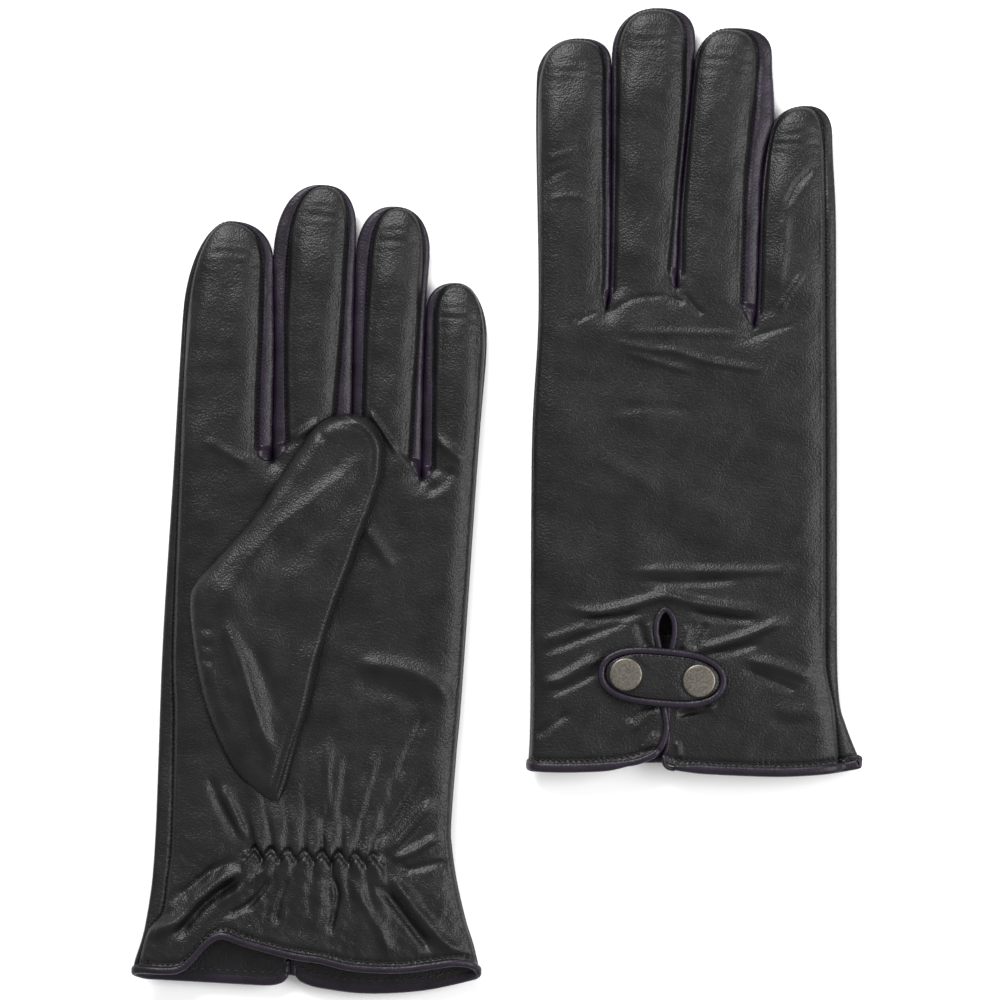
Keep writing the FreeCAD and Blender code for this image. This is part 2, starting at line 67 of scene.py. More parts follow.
# Each line is a list of (x, y) points. Valleys are the middles of the three gaps between
# the fingers, and start at the crotches. seams are the edges of the top panel, two to a
# finger. Each tip is where a fingertip starts to round on its left and on its right, how
# high it ends, how far across its highest place is, and how square each corner is.
GLOVES = {
    "left": {
        "seams": {
            "index": (
                [(-49.4, -4), (-46.8, 10), (-44.8, 14), (-42, 18), (-41.1, 28), (-40.6, 40), (-41.9, 75),
                 (-43.5, 98), (-44.4, 149), (-44.8, 173), (-45.0, 213)],
                [(-21.4, 157), (-22.2, 176), (-22.3, 190), (-22.9, 213)],
            ),
            "middle": ([(-12.6, 157), (-15.2, 193), (-15.6, 226)], [(1.1, 165), (1.9, 194), (2.1, 226)]),
            "ring": ([(9.6, 165), (8.8, 195), (9.0, 221)], [(24.7, 154), (25.0, 205), (25.2, 221)]),
            "little": (
                [(31.4, 154), (29.8, 188), (29.0, 201)],
                [(54.9, 0), (53.6, 5), (51.4, 12.8), (48.6, 20.2), (45.2, 32), (43.2, 42), (42.6, 49),
                 (43.0, 70), (43.6, 90), (44.5, 161), (45.1, 188), (44.5, 201)],
            ),
        },
        "outline": (
            [(-50.2, -4), (-49.7, 2), (-47.3, 12), (-45.7, 28), (-45.6, 45), (-46.7, 96), (-46.4, 149),
             (-46.3, 191), (-45.9, 213)],
            [(55.2, 0), (53.9, 5), (51.7, 12.8), (48.9, 20.2), (45.5, 32), (43.5, 42), (42.9, 49),
             (43.3, 70), (43.9, 90), (44.8, 161), (45.5, 188), (45.1, 201)],
        ),
        "valleys": (
            [(-16.8, 154.5), (-17.4, 168), (-18.2, 190), (-19.6, 209), (-21.0, 226)],
            [(6.2, 163), (6.3, 170), (5.3, 195), (4.3, 226)],
            [(28.2, 151.6), (28.0, 158), (26.7, 196), (26.9, 221)],
        ),
        "tips": ((196, 212, 225.8, 0.50, 2.0, 2.35), (216, 223, 238.2, 0.57, 2.3, 2.5),
                 (217, 218, 232.9, 0.50, 2.3, 2.3), (202, 193, 211.0, 0.49, 2.35, 2.0)),
        "top_wrap": "little",
        "knuckle_y": 149.0,
        "crotch_opening": 2.6,
        "top_hem": [(-50, 1.2), (-43, 1.0), (-36.5, 1.6), (-32.5, 5), (-29.5, 9), (-26, 12), (-23, 12.6),
                    (-17, 10.8), (-9, 9), (-1.5, 7.6), (6, 6.9), (15, 5.2), (23, 5.0), (30.5, 5.4),
                    (38, 6.7), (46, 8.3), (50.6, 8.2), (55, 5.5)],
        "low_hem": [(-50.5, 0.4), (-46, -1.4), (-28, -1.4), (-12, -1.4), (-6.7, -0.8), (-2.3, 1.6),
                    (2, -0.2), (6.3, -1.2),
                    (19.5, -2.1), (35, -0.6), (46, 2.0), (54, 4.6)],
        "top_z": [(-14, 12.6), (12, 12.4), (34, 11.4), (60, 10.7), (150, 10.5), (200, 9.8), (260, 9.4)],
        "low_z": [(-14, 4.3), (20, 4.3), (48, 4.3), (68, 0.5), (88, 0.4), (260, 0.4)],
    },
    "right": {
        "seams": {
            "index": (
                [(-46.9, -3), (-46.5, 1.5), (-45.9, 14), (-45.7, 45), (-45.3, 100), (-43.4, 138),
                 (-43.9, 190), (-43.6, 208)],
                [(-24.6, 140), (-23.8, 150), (-23.7, 171), (-23.4, 208)],
            ),
            "middle": (
                [(-21.2, 141), (-20.6, 171), (-20.1, 216)],
                [(-4.6, 147), (-2.4, 171), (0.4, 201), (0.7, 216)],
            ),
            "ring": (
                [(-0.6, 147), (0.0, 171), (2.8, 201), (4.2, 211)],
                [(17.4, 136), (18.5, 171), (21.2, 200), (22.2, 211)],
            ),
            "little": (
                [(22.8, 136), (24.0, 171), (26.4, 188), (27.8, 189)],
                [(46.9, -3), (46.6, 2.4), (45.3, 17.7), (43.3, 27.6), (42.6, 39), (42.6, 100), (42.3, 171),
                 (42.0, 188)],
            ),
        },
        "outline": (
            [(-47.2, -3), (-46.8, 1.5), (-46.2, 14), (-46, 45), (-45.6, 100), (-43.7, 138), (-44.4, 190),
             (-44.2, 208)],
            [(54.6, -3), (53.1, 2), (48.8, 13), (46.6, 22), (45.9, 45), (45.9, 100), (45.7, 132),
             (45.6, 165), (44.7, 188)],
        ),
        "valleys": (
            [(-23.2, 138), (-22.2, 146), (-21.8, 171), (-21.6, 216)],
            [(-2.2, 144.8), (-1.8, 155), (-0.9, 171), (2.1, 201), (3.5, 216)],
            [(21, 132.9), (21.9, 140), (23.1, 171), (24.6, 186), (27.2, 196), (26.6, 211)],
        ),
        "tips": ((207, 211, 219.8, 0.56, 2.1, 2.6), (214, 219, 228.9, 0.55, 2.2, 2.6),
                 (209, 214, 222.9, 0.50, 2.2, 2.6), (188, 190, 199.5, 0.60, 2.1, 2.4)),
        "top_wrap": "index",
        "knuckle_y": 138.0,
        "crotch_opening": 4.6,
        "top_hem": [(-47, 1.4), (-37, 1.1), (-25, 1.4), (-17.2, 2.4), (-11.8, 3.8), (-8, 4.4), (-4, 1.5),
                    (5, 0.7), (17, 0.1), (29, -0.2), (41, 0.4), (50, 1.6), (54, 2.6)],
        "low_hem": [(-47, 2.4), (0, 3.4), (54, 3.2)],
        "top_z": [(-14, 11.1), (60, 11.3), (140, 11.4), (190, 10.6), (260, 9.6)],
        "low_z": [(-14, 0.6), (10, 0.6), (30, 0.6), (44, 4.2), (58, 4.2), (150, 4.2), (166, 4.2), (182, 0.4),
                  (198, 0.4), (260, 0.4)],
    },
}

# The folded thumb with its sewn lobe, and the line it turns over about
THUMB_LEFT_EDGE = [(-9.4, 51.2), (-15.4, 54.7), (-22.5, 60.6), (-28.4, 70), (-32.8, 80), (-35.8, 90),
                   (-38.2, 101.8), (-39.3, 111), (-38, 116.5), (-32.4, 124), (-22.4, 136.5),
                   (-14.4, 150), (-11.5, 155), (-6.2, 163.2), (-1.7, 167.6), (4, 169.9)]
THUMB_RIGHT_EDGE = [(-9.4, 51.2), (-7.6, 56), (-5.2, 66), (-1.6, 81), (1.4, 98), (5.2, 112.4),
                    (10.1, 128.6), (15.6, 147), (17.0, 153), (17.0, 159.5), (15.0, 165), (10.4, 169), (4, 169.9)]
THUMB_FOOT_Y = 51.2
THUMB_TIP_Y = 169.9
RIGHT_THUMB_SHIFT = -6.0

# The bound edge of the slit and its keyhole, from the hem up one side and down the other
SLIT_EDGE = {
    "left": [(-3.4, 0.4), (-3.7, 4), (-4.9, 11), (-6.2, 18), (-6.5, 29), (-7.4, 36), (-8.3, 41), (-7.9, 45),
             (-5.6, 48.2), (-3.3, 45), (-2.9, 41), (-3.8, 36), (-4.8, 29), (-4.6, 18), (-3.3, 11), (-2.2, 4),
             (-1.9, 0.4)],
    "right": [(-17.2, 2.1), (-14.5, 2.6), (-11.8, 3.5), (-8.6, 5.2), (-6.5, 7.8), (-5.5, 11), (-5.3, 13.6),
              (-5.8, 17), (-6.2, 20), (-6.5, 29), (-7.4, 36), (-8.4, 41), (-8.2, 44.6), (-7.2, 47),
              (-5.6, 48.2), (-4.0, 47), (-3.0, 44.6), (-2.8, 41), (-3.8, 36), (-4.8, 29), (-4.8, 20),
              (-4.8, 14), (-4.8, 9), (-5.3, 6), (-6.1, 4), (-6.0, 2.2), (-4.9, 0.8), (-2.6, 0.2)],
}
BELOW_HEM = -6
SLIT_AREA = {
    side: edge + [(edge[-1][0], BELOW_HEM), (edge[0][0], BELOW_HEM)]
    for side, edge in SLIT_EDGE.items()
}

# Sizes of things in millimetres
GRID = 0.6
FINGER_LENGTH = 82
HAND_LENGTH = 145
PANEL_LEATHER = 0.8
FOURCHETTE_LEATHER = 0.7
LINING_SHEET = 0.35
LINING_INSET = 1.15
ELASTIC_SHEET = 0.4
LOW_PANEL_INSET = 1.6
FAR_FROM_TIP = 99.0
FACING_TOP_Y = 20
HEM_STITCH_PITCH = 1.7
HEM_STITCH_INSET = {"left": 1.3, "right": 2.0}


# ---------------------------------------------------------------- small mathematics

def dense(points, step=0.5):
    """A smooth line through the points, as an array of close points."""
    p = np.array(points, float)
    if len(p) < 3:
        count = max(2, int(np.hypot(*(p[-1] - p[0])) / step))
        return p[0] + np.linspace(0, 1, count)[:, None] * (p[-1] - p[0])
    before = np.vstack([2 * p[0] - p[1], p[:-1]])
    after = np.vstack([p[1:], 2 * p[-1] - p[-2]])
    slope = (after - before) / 2
    out = []
    for i in range(len(p) - 1):
        count = max(2, int(np.linalg.norm(p[i + 1] - p[i]) / step))
        t = np.linspace(0, 1, count, endpoint=False)[:, None]
        span = p[i + 1] - p[i]
        start = np.clip(slope[i], -3 * abs(span) - 1e-9, 3 * abs(span) + 1e-9)
        end = np.clip(slope[i + 1], -3 * abs(span) - 1e-9, 3 * abs(span) + 1e-9)
        out.append((2 * t**3 - 3 * t**2 + 1) * p[i] + (t**3 - 2 * t**2 + t) * start
                   + (3 * t**2 - 2 * t**3) * p[i + 1] + (t**3 - t**2) * end)
    out.append(p[-1:])
    return np.vstack(out)


def line_x(points, y):
    """x of a line that climbs in y, at the heights y."""
    line = dense(points)
    return np.interp(y, line[:, 1], line[:, 0])


def line_y(points, x):
    line = dense(points)
    return np.interp(x, line[:, 0], line[:, 1])


def smooth(t):
    t = np.clip(t, 0, 1)
    return t * t * (3 - 2 * t)


def soft_min(*values, blend=1.6):
    """The smallest of the values, with the corners between them rounded off."""
    total = sum(np.exp(-np.clip(v, -20, 60) / blend) for v in values)
    return -blend * np.log(total)


def rounded(distance, reach):
    """A quarter-round: 0 at the edge, 1 from reach onwards."""
    s = np.clip(distance / reach, 0, 1)
    return np.sqrt(np.clip(1 - (1 - s) ** 2, 0, 1))


def bell(distance, width):
    """1 where the distance is 0, and close to 0 from two widths onwards."""
    return np.exp(-((distance / width) ** 2))


def waves(x, y, length, seed, stretch=1.0):
    """Smooth random ups and downs about one unit high and length apart."""
    rng = np.random.default_rng(seed)
    total = 0
    for _ in range(12):
        angle = rng.uniform(0, math.pi)
        size = length * rng.uniform(0.7, 1.7)
        phase = rng.uniform(0, 2 * math.pi)
        along = x * math.cos(angle) * stretch + y * math.sin(angle)
        total = total + np.cos(along * 2 * math.pi / size + phase)
    return total / 4


def along_line(x, y, points):
    """Distance from each point to a line, and how far along the line the nearest place is, 0 to 1."""
    line = dense(points, 1.5)
    steps = np.hypot(*np.diff(line, axis=0).T)
    place = np.concatenate([[0], np.cumsum(steps)]) / steps.sum()
    best = np.full(np.shape(x), 1e9)
    where = np.zeros(np.shape(x))
    for i in range(len(line) - 1):
        ax, ay = line[i]
        bx, by = line[i + 1]
        t = np.clip(((x - ax) * (bx - ax) + (y - ay) * (by - ay)) / max(steps[i] ** 2, 1e-9), 0, 1)
        d = np.hypot(x - ax - t * (bx - ax), y - ay - t * (by - ay))
        closer = d < best
        best = np.where(closer, d, best)
        where = np.where(closer, place[i] + t * (place[i + 1] - place[i]), where)
    return best, where


def crease(x, y, points, width, height):
    """A ridge, or a valley where height is negative, that fades out at both ends."""
    distance, where = along_line(x, y, points)
    fade = smooth(np.minimum(where, 1 - where) * 4)
    return height * fade * bell(distance, width)


def cosine_steps(count, ends=0.75):
    """Steps from 0 to 1 that are closer together near both ends."""
    t = np.linspace(0, 1, count)
    return ends * (1 - np.cos(math.pi * t)) / 2 + (1 - ends) * t


# ---------------------------------------------------------------- from millimetres to the frame

MOUNTS = {m["name"]: np.array(m["pos_m"]) for m in frame["record"]["mounts"]}


def to_world(side, points):
    """A glove's own millimetres (x, y, z) to metres in the frame."""
    p = np.asarray(points, float)
    origin = MOUNTS[side + "_cuff"]
    along = (MOUNTS[side + "_glove_rest"] - origin)[:2]
    along = along / np.hypot(*along)
    across = np.array([along[1], -along[0]])
    flat = origin[:2] + (p[..., :1] * across + p[..., 1:2] * along) * MM
    return np.concatenate([flat, p[..., 2:] * MM], axis=-1)


def make_mesh(name, points, faces, merge=0.0):
    """An object from points in metres and faces as lists of point numbers."""
    mesh = bpy.data.meshes.new(name)
    mesh.from_pydata([tuple(p) for p in points], [], [tuple(f) for f in faces])
    mesh.validate()
    if merge:
        work = bmesh.new()
        work.from_mesh(mesh)
        bmesh.ops.remove_doubles(work, verts=work.verts, dist=merge)
        work.to_mesh(mesh)
        work.free()
    mesh.shade_smooth()
    obj = bpy.data.objects.new(name, mesh)
    bpy.context.scene.collection.objects.link(obj)
    return obj


def grid_faces(rows, cols, first=0, flip=False, keep=None):
    """Quads over a grid of points numbered row by row. keep says which quads to make."""
    faces = []
    for r in range(rows - 1):
        for c in range(cols - 1):
            if keep is not None and not keep[r, c]:
                continue
            a = first + r * cols + c
            quad = [a, a + 1, a + cols + 1, a + cols]
            faces.append(quad[::-1] if flip else quad)
    return faces


def ring_faces(rings, sides, first=0, closed=False):
    """Quads between rings of points that are numbered one ring after another."""
    faces = []
    for r in range(rings if closed else rings - 1):
        for k in range(sides):
            a = first + r * sides + k
            b = first + r * sides + (k + 1) % sides
            step = sides if r + 1 < rings else -r * sides
            faces.append((a, b, b + step, a + step))
    return faces


def on_glove(side):
    """Places points given in a glove's own millimetres."""
    return lambda points: to_world(side, points)


def make_grids(name, put, grids, merge=3e-5):
    """One object from several grids, each (points of shape rows x cols x 3, flip, keep)."""
    points = []
    faces = []
    for grid, flip, keep in grids:
        rows, cols = grid.shape[:2]
        faces += grid_faces(rows, cols, sum(len(p) for p in points), flip, keep)
        points.append(put(grid.reshape(-1, 3)))
    return make_mesh(name, np.vstack(points), faces, merge)


def thicken(obj, thickness):
    """Gives a sheet its real thickness, inwards."""
    modifier = obj.modifiers.new("thickness", "SOLIDIFY")
    modifier.thickness = thickness * MM
    modifier.offset = -1
    modifier.use_even_offset = False
    graph = bpy.context.evaluated_depsgraph_get()
    solid = bpy.data.meshes.new_from_object(obj.evaluated_get(graph))
    obj.modifiers.clear()
    obj.data = solid
    return obj


def sweep(name, put, path, half_width, half_height, closed=False, sides=10, wide=None):
    """A rounded strip along a path of (x, y, z). half_width runs level, or along wide if given."""
    path = np.asarray(path, float)
    if closed:
        tangent = np.roll(path, -1, 0) - np.roll(path, 1, 0)
    else:
        tangent = np.gradient(path, axis=0)
    tangent /= np.linalg.norm(tangent, axis=1)[:, None] + 1e-12
    across = np.cross(tangent, [0, 0, 1])
    if wide is not None:
        across = wide - tangent * (tangent @ np.array(wide, float))[:, None]
    across /= np.linalg.norm(across, axis=1)[:, None] + 1e-12
    up = np.cross(across, tangent)
    angle = np.linspace(0, 2 * math.pi, sides, endpoint=False)
    c = np.sign(np.cos(angle)) * abs(np.cos(angle)) ** 0.8
    s = np.sign(np.sin(angle)) * abs(np.sin(angle)) ** 0.8
    size = np.ones(len(path))
    if not closed:
        size[[0, -1]] = 0.5
    width = np.broadcast_to(half_width, len(path)) * size
    height = np.broadcast_to(half_height, len(path)) * size
    rings = (path[:, None] + across[:, None] * (c[None, :, None] * width[:, None, None])
             + up[:, None] * (s[None, :, None] * height[:, None, None]))
    count = len(path)
    faces = ring_faces(count, sides, closed=closed)
    if not closed:
        faces.append(list(range(sides))[::-1])
        faces.append(list(range((count - 1) * sides, count * sides)))
    return make_mesh(name, put(rings.reshape(-1, 3)), faces)


def even_path(path, step=None, count=None):
    """The same path with points at even steps, or with a count of points and its last end left out."""
    path = np.asarray(path, float)
    lengths = np.linalg.norm(np.diff(path, axis=0), axis=1)
    place = np.concatenate([[0], np.cumsum(lengths)])
    if count is None:
        wanted = np.linspace(0, place[-1], max(2, int(place[-1] / step) + 1))
    else:
        wanted = np.linspace(0, place[-1], count, endpoint=False)
    return np.stack([np.interp(wanted, place, path[:, k]) for k in range(path.shape[1])], axis=1)


STITCH_SIDES = 6


def stitches(name, put, paths, pitch=1.25, length=0.85, radius=0.17, lift=0.0):
    """Short rounded stitches along each path, as one object."""
    angles = np.linspace(0, 2 * math.pi, STITCH_SIDES, endpoint=False)
    ring = [(math.cos(a), math.sin(a)) for a in angles]
    stations = [(-0.5, 0.35), (-0.36, 0.9), (0.0, 1.0), (0.36, 0.9), (0.5, 0.35)]
    points = []
    faces = []
    for path in paths:
        path = even_path(path, pitch)
        for a, b in zip(path[:-1], path[1:]):
            middle = (a + b) / 2
            middle[2] += lift
            t = (b - a) / (np.linalg.norm(b - a) + 1e-9)
            s = np.cross(t, [0, 0, 1])
            s /= np.linalg.norm(s) + 1e-9
            u = np.cross(s, t)
            first = len(points)
            for place, size in stations:
                for c, h in ring:
                    points.append(middle + t * place * length + (s * c + u * h) * radius * size)
            faces += ring_faces(len(stations), STITCH_SIDES, first)
            last = len(points) - STITCH_SIDES
            faces.append([first + k for k in range(STITCH_SIDES)][::-1])
            faces.append([last + k for k in range(STITCH_SIDES)])
    return make_mesh(name, put(np.array(points)), faces)


# ---------------------------------------------------------------- the outline of each panel

def low_seams(glove):
    """The edges of the underneath panel: a little inside the outline and the valleys."""
    index_side, little_side = glove["outline"]
    inset = LOW_PANEL_INSET
    lines = [[(x + inset, y) for x, y in index_side]]
    for valley in glove["valleys"]:
        lines.append([(x - inset, y + 4) for x, y in valley])
        lines.append([(x + inset, y + 4) for x, y in valley])
    lines.append([(x - inset, y) for x, y in little_side])
    return {name: (lines[2 * i], lines[2 * i + 1]) for i, name in enumerate(FINGERS)}


def panel_seams(glove, face):
    return glove["seams"] if face == "top" else low_seams(glove)


def tip_curve(glove, finger, u, inset):
    """y of a fingertip across its width, from one shoulder over the top to the other."""
    left, right, top, peak, left_square, right_square = glove["tips"][finger]
    on_left = u < peak
    from_peak = np.where(on_left, (peak - u) / peak, (u - peak) / (1 - peak))
    square = np.where(on_left, left_square, right_square)
    shoulder = np.where(on_left, left, right) - inset
    arc = np.clip(1 - np.clip(from_peak, 0, 1) ** square, 0, 1) ** (1 / square)
    return shoulder + (top - inset - shoulder) * arc


def knuckle_slope(glove, finger):
    """Slope of the line between the crotches either side of a finger."""
    ends = [glove["valleys"][gap][0] for gap in (finger - 1, finger) if 0 <= gap < 3]
    if len(ends) == 1:
        side = 0 if finger == 0 else 1
        ends.append((glove["outline"][side][-1][0], glove["knuckle_y"]))
    (ax, ay), (bx, by) = ends
    return (by - ay) / (bx - ax)


def finger_rows(glove, finger, edge, rows, inset):
    """y of each row up one edge of a finger, from its crotch or from the knuckle line to the
    shoulder, closer together near the foot, and the valley beside that edge."""
    gap = finger - 1 + edge
    valley = glove["valleys"][gap] if 0 <= gap < 3 else None
    low_y = valley[0][1] if valley else glove["knuckle_y"]
    high_y = glove["tips"][finger][edge] - inset
    t = np.linspace(0, 1, rows)
    return low_y + (high_y - low_y) * (t - 0.35 * t * (1 - t)), valley


def edge_path(glove, seams, finger, edge, rows, inset):
    """One edge of a finger's panel. Edges either side of a valley meet at the crotch."""
    y, valley = finger_rows(glove, finger, edge, rows, inset)
    x = line_x(seams[FINGERS[finger]][edge], y)
    if valley:
        middle = line_x(valley, y)
        above = y - y[0]
        x = middle + (x - middle) * rounded(above, glove["crotch_opening"])
        y = y + knuckle_slope(glove, finger) * (x - middle) * (1 - smooth(above / 12))
    return np.stack([x, y], axis=1)


def from_hand_edges(glove, seams, x, y):
    """Distance to the nearest side seam or crotch, for places on the hand."""
    near = soft_min(x - line_x(seams["index"][0], y), line_x(seams["little"][1], y) - x)
    for valley in glove["valleys"]:
        near = soft_min(near, np.hypot(x - valley[0][0], y - valley[0][1]))
    return near


def finger_grid(glove, seams, finger, u, inset):
    """A finger's part of a panel: x and y of every point, and its distances to the nearest edge
    and to the tip."""
    rows = int(FINGER_LENGTH / GRID)
    left = edge_path(glove, seams, finger, 0, rows, inset)
    right = edge_path(glove, seams, finger, 1, rows, inset)
    x = left[:, :1] + (right[:, :1] - left[:, :1]) * u
    y = left[:, 1:] + (right[:, 1:] - left[:, 1:]) * u
    rise = smooth((np.linspace(0, 1, rows) - 0.55) / 0.45)[:, None]
    y = y + rise * (tip_curve(glove, finger, u, inset) - y[-1:])
    near = soft_min(x - left[:, :1], right[:, :1] - x, y[-1:] - y + 0 * x)
    on_finger = smooth((np.arange(rows)[:, None] * GRID - 0.5) / 9)
    near = near + (from_hand_edges(glove, seams, x, y) - near) * (1 - on_finger)
    return {"x": x, "y": y, "near": near, "tip": y[-1:] - y}


def hand_grid(glove, seams, face, top):
    """The hand's part of a panel, from the hem up to its top row of points at the knuckles."""
    left_edge, right_edge = seams["index"][0], seams["little"][1]
    left_low, right_low = line_x(left_edge, 4.0), line_x(right_edge, 4.0)
    spread = (top[:, 0] - top[0, 0]) / (top[-1, 0] - top[0, 0])
    low_x = left_low + (right_low - left_low) * spread
    low_y = line_y(glove[face + "_hem"], low_x)
    v = np.linspace(0, 1, int(HAND_LENGTH / GRID))[:, None]
    v = v - 0.12 * np.sin(2 * math.pi * v) / (2 * math.pi)
    y = low_y + (top[:, 1] - low_y) * v
    left, right = line_x(left_edge, y), line_x(right_edge, y)
    left_top, right_top = line_x(left_edge, top[:, 1]), line_x(right_edge, top[:, 1])
    at_knuckle = (top[:, 0] - left_top) / (right_top - left_top)
    across = spread + (at_knuckle - spread) * smooth(v)
    x = left + (right - left) * across
    near = from_hand_edges(glove, seams, x, y)
    return {"x": x, "y": y, "near": near, "tip": np.full(np.shape(x), FAR_FROM_TIP)}


def panel_grids(glove, face):
    """The panel as one grid for the hand and one for each finger. The hand's top row runs through
    the crotches and meets the fingers point for point."""
    seams = panel_seams(glove, face)
    inset = 0.3 if face == "top" else 0.9
    knuckle_y = glove["knuckle_y"]
    crotches = [valley[0] for valley in glove["valleys"]]
    ends = [(float(line_x(line, knuckle_y)), knuckle_y) for line in (seams["index"][0], seams["little"][1])]
    knuckle = [ends[0]] + crotches + [ends[1]]
    index_side, little_side = glove["outline"]
    stations = [index_side[-1][0]] + [x for x, _ in crotches] + [little_side[-1][0]]
    fingers = []
    top = []
    for i in range(4):
        width = stations[i + 1] - stations[i]
        u = cosine_steps(2 * int(width / GRID / 2) + 5)
        fingers.append(finger_grid(glove, seams, i, u, inset))
        a, b = np.array(knuckle[i]), np.array(knuckle[i + 1])
        row = a + u[:, None] * (b - a)
        top.append(row if i == 3 else row[:-1])
    return hand_grid(glove, seams, face, np.vstack(top)), fingers


def wrap_side(glove, face):
    """The side where this panel wraps round the hand with no seam: 0 for index, 1 for little."""
    top = 0 if glove["top_wrap"] == "index" else 1
    return top if face == "top" else 1 - top


def surface(glove, face, x, y, near, tip):
    """z of a panel at each point: flat in the middle, rounded off towards its edges."""
    high = line_y(glove["top_z"], y)
    low = line_y(glove["low_z"], y)
    thinner = 1 - smooth(tip / 26)
    high = high - 2.2 * thinner * (high - low) / 10
    side = wrap_side(glove, face)
    if side == 0:
        from_wrap = x - line_x(glove["outline"][0], y)
    else:
        from_wrap = line_x(glove["outline"][1], y) - x
    # share of the way from the low face to the high one, or back, at which the seam lies
    share = 0.68 - 0.09 * (1 - smooth(from_wrap / 10)) - 0.05 * (1 - smooth(tip / 9))
    near = np.maximum(near, 0)
    if face == "top":
        edge = low + share * (high - low)
        return edge + (high - edge) * rounded(near, 7.5)
    edge = high - share * (high - low)
    return edge - (edge - low) * rounded(near, 6.0)


# ---------------------------------------------------------------- creases and gathers

def pleats(x, y, first, last, pitch, spread):
    """Rounded bulges with sharp creases between them, fanning out from the line they start on."""
    middle = 3.0
    fan = 1 + np.abs(y - 38) * spread
    flat = middle + (x - middle) / fan + 0.35 * np.sin(y * 0.5 + x * 0.9)
    bulge = (np.sin(math.pi * (flat - first) / pitch) ** 2 + 0.03) ** 0.3
    return bulge * smooth((flat - first + 1) / 2) * smooth((last + 1 - flat) / 2)


def creases(x, y, lines):
    """All the creases in a list of (points, width, height)."""
    return sum(crease(x, y, points, width, height) for points, width, height in lines)


def zigzag_distance(x, y, points):
    """Distance to a line of straight runs."""
    distance = np.full(np.shape(x), 1e9)
    for (ax, ay), (bx, by) in zip(points, points[1:]):
        t = np.clip(((x - ax) * (bx - ax) + (y - ay) * (by - ay)) / ((bx - ax) ** 2 + (by - ay) ** 2), 0, 1)
        distance = np.minimum(distance, np.hypot(x - ax - t * (bx - ax), y - ay - t * (by - ay)))
    return distance


LEFT_PALM_FOLDS = [
    ([(-16, 33.5), (-25, 27.5), (-31, 22), (-36, 16), (-44, 12.5), (-50, 12)], 2.0, 1.5),
    ([(-18, 30), (-27, 23.5), (-33, 17), (-38, 9)], 1.5, -1.7),
    ([(-20, 35), (-28, 31), (-35, 25), (-41, 20)], 1.3, -0.8),
    ([(-12, 33.5), (-19, 26), (-26, 20.5)], 1.5, 0.8),
    ([(-8.9, 31.6), (-15.7, 22), (-24.2, 17)], 1.0, -0.9),
    ([(-4, 32), (-6.6, 24.6), (-8.5, 14.5)], 0.9, -0.9),
    ([(7.9, 32.6), (10.2, 25), (7.9, 12.3)], 0.9, -0.8),
    ([(24, 34), (31, 26), (38, 18), (45, 12), (51, 12)], 1.8, 1.2),
    ([(21, 31), (29, 22), (36, 14), (40, 9)], 1.3, -1.1),
    ([(14, 32), (18, 24), (24, 15), (27, 7)], 1.3, 0.8),
    ([(4, 31), (5, 22), (3, 14)], 1.8, 0.5),
    ([(-27, 57), (-21, 46), (-18, 40)], 1.4, 1.0),
    ([(-31, 60), (-25, 48), (-20, 40)], 1.2, -0.8),
    ([(38, 57), (29, 45), (23, 38)], 1.4, 1.0),
    ([(34, 62), (26, 48), (20, 40)], 1.2, -0.7),
    ([(41, 46), (32, 40), (25, 37)], 1.3, 0.8),
    ([(43, 38), (33, 35), (27, 34)], 1.1, -0.6),
    ([(20, 72), (17, 58), (14, 45)], 1.5, 0.6),
    ([(11, 70), (10, 58), (9, 46)], 1.3, -0.4),
    ([(5, 74), (5, 60), (5, 46)], 1.4, 0.5),
    ([(10, 95), (14, 95.2), (26, 94.2), (35, 91), (42, 83)], 2.4, 0.9),
    ([(10, 89), (22, 88), (33, 83)], 3.0, -0.5),
    ([(12, 137), (16, 131), (22, 124)], 1.9, 0.55),
    ([(26, 60), (29, 70), (34, 82)], 1.2, -0.5),
    ([(30, 164.5), (35, 161.5), (41, 157)], 1.6, 0.6),
    ([(38, 156), (34, 150), (29, 147)], 1.4, -0.5),
    ([(-13, 160), (-8, 163.5), (-2, 168)], 1.3, 0.7),
    ([(10.5, 172), (16, 165), (21, 158)], 0.8, 0.6),
    ([(-38, 160), (-30, 156), (-22, 152)], 1.6, 0.4),
]


# Where the gathers above and below the elastic start and end in x, and how far apart they are
UPPER_PLEATS = (-15.5, 19.9, 5.06)
LOWER_PLEATS = (-18.1, 22.7, 5.1)
PLEAT_COUNT = 8
ZIGZAG_LOW_Y = 35.0
ZIGZAG_HIGH_Y = 38.8


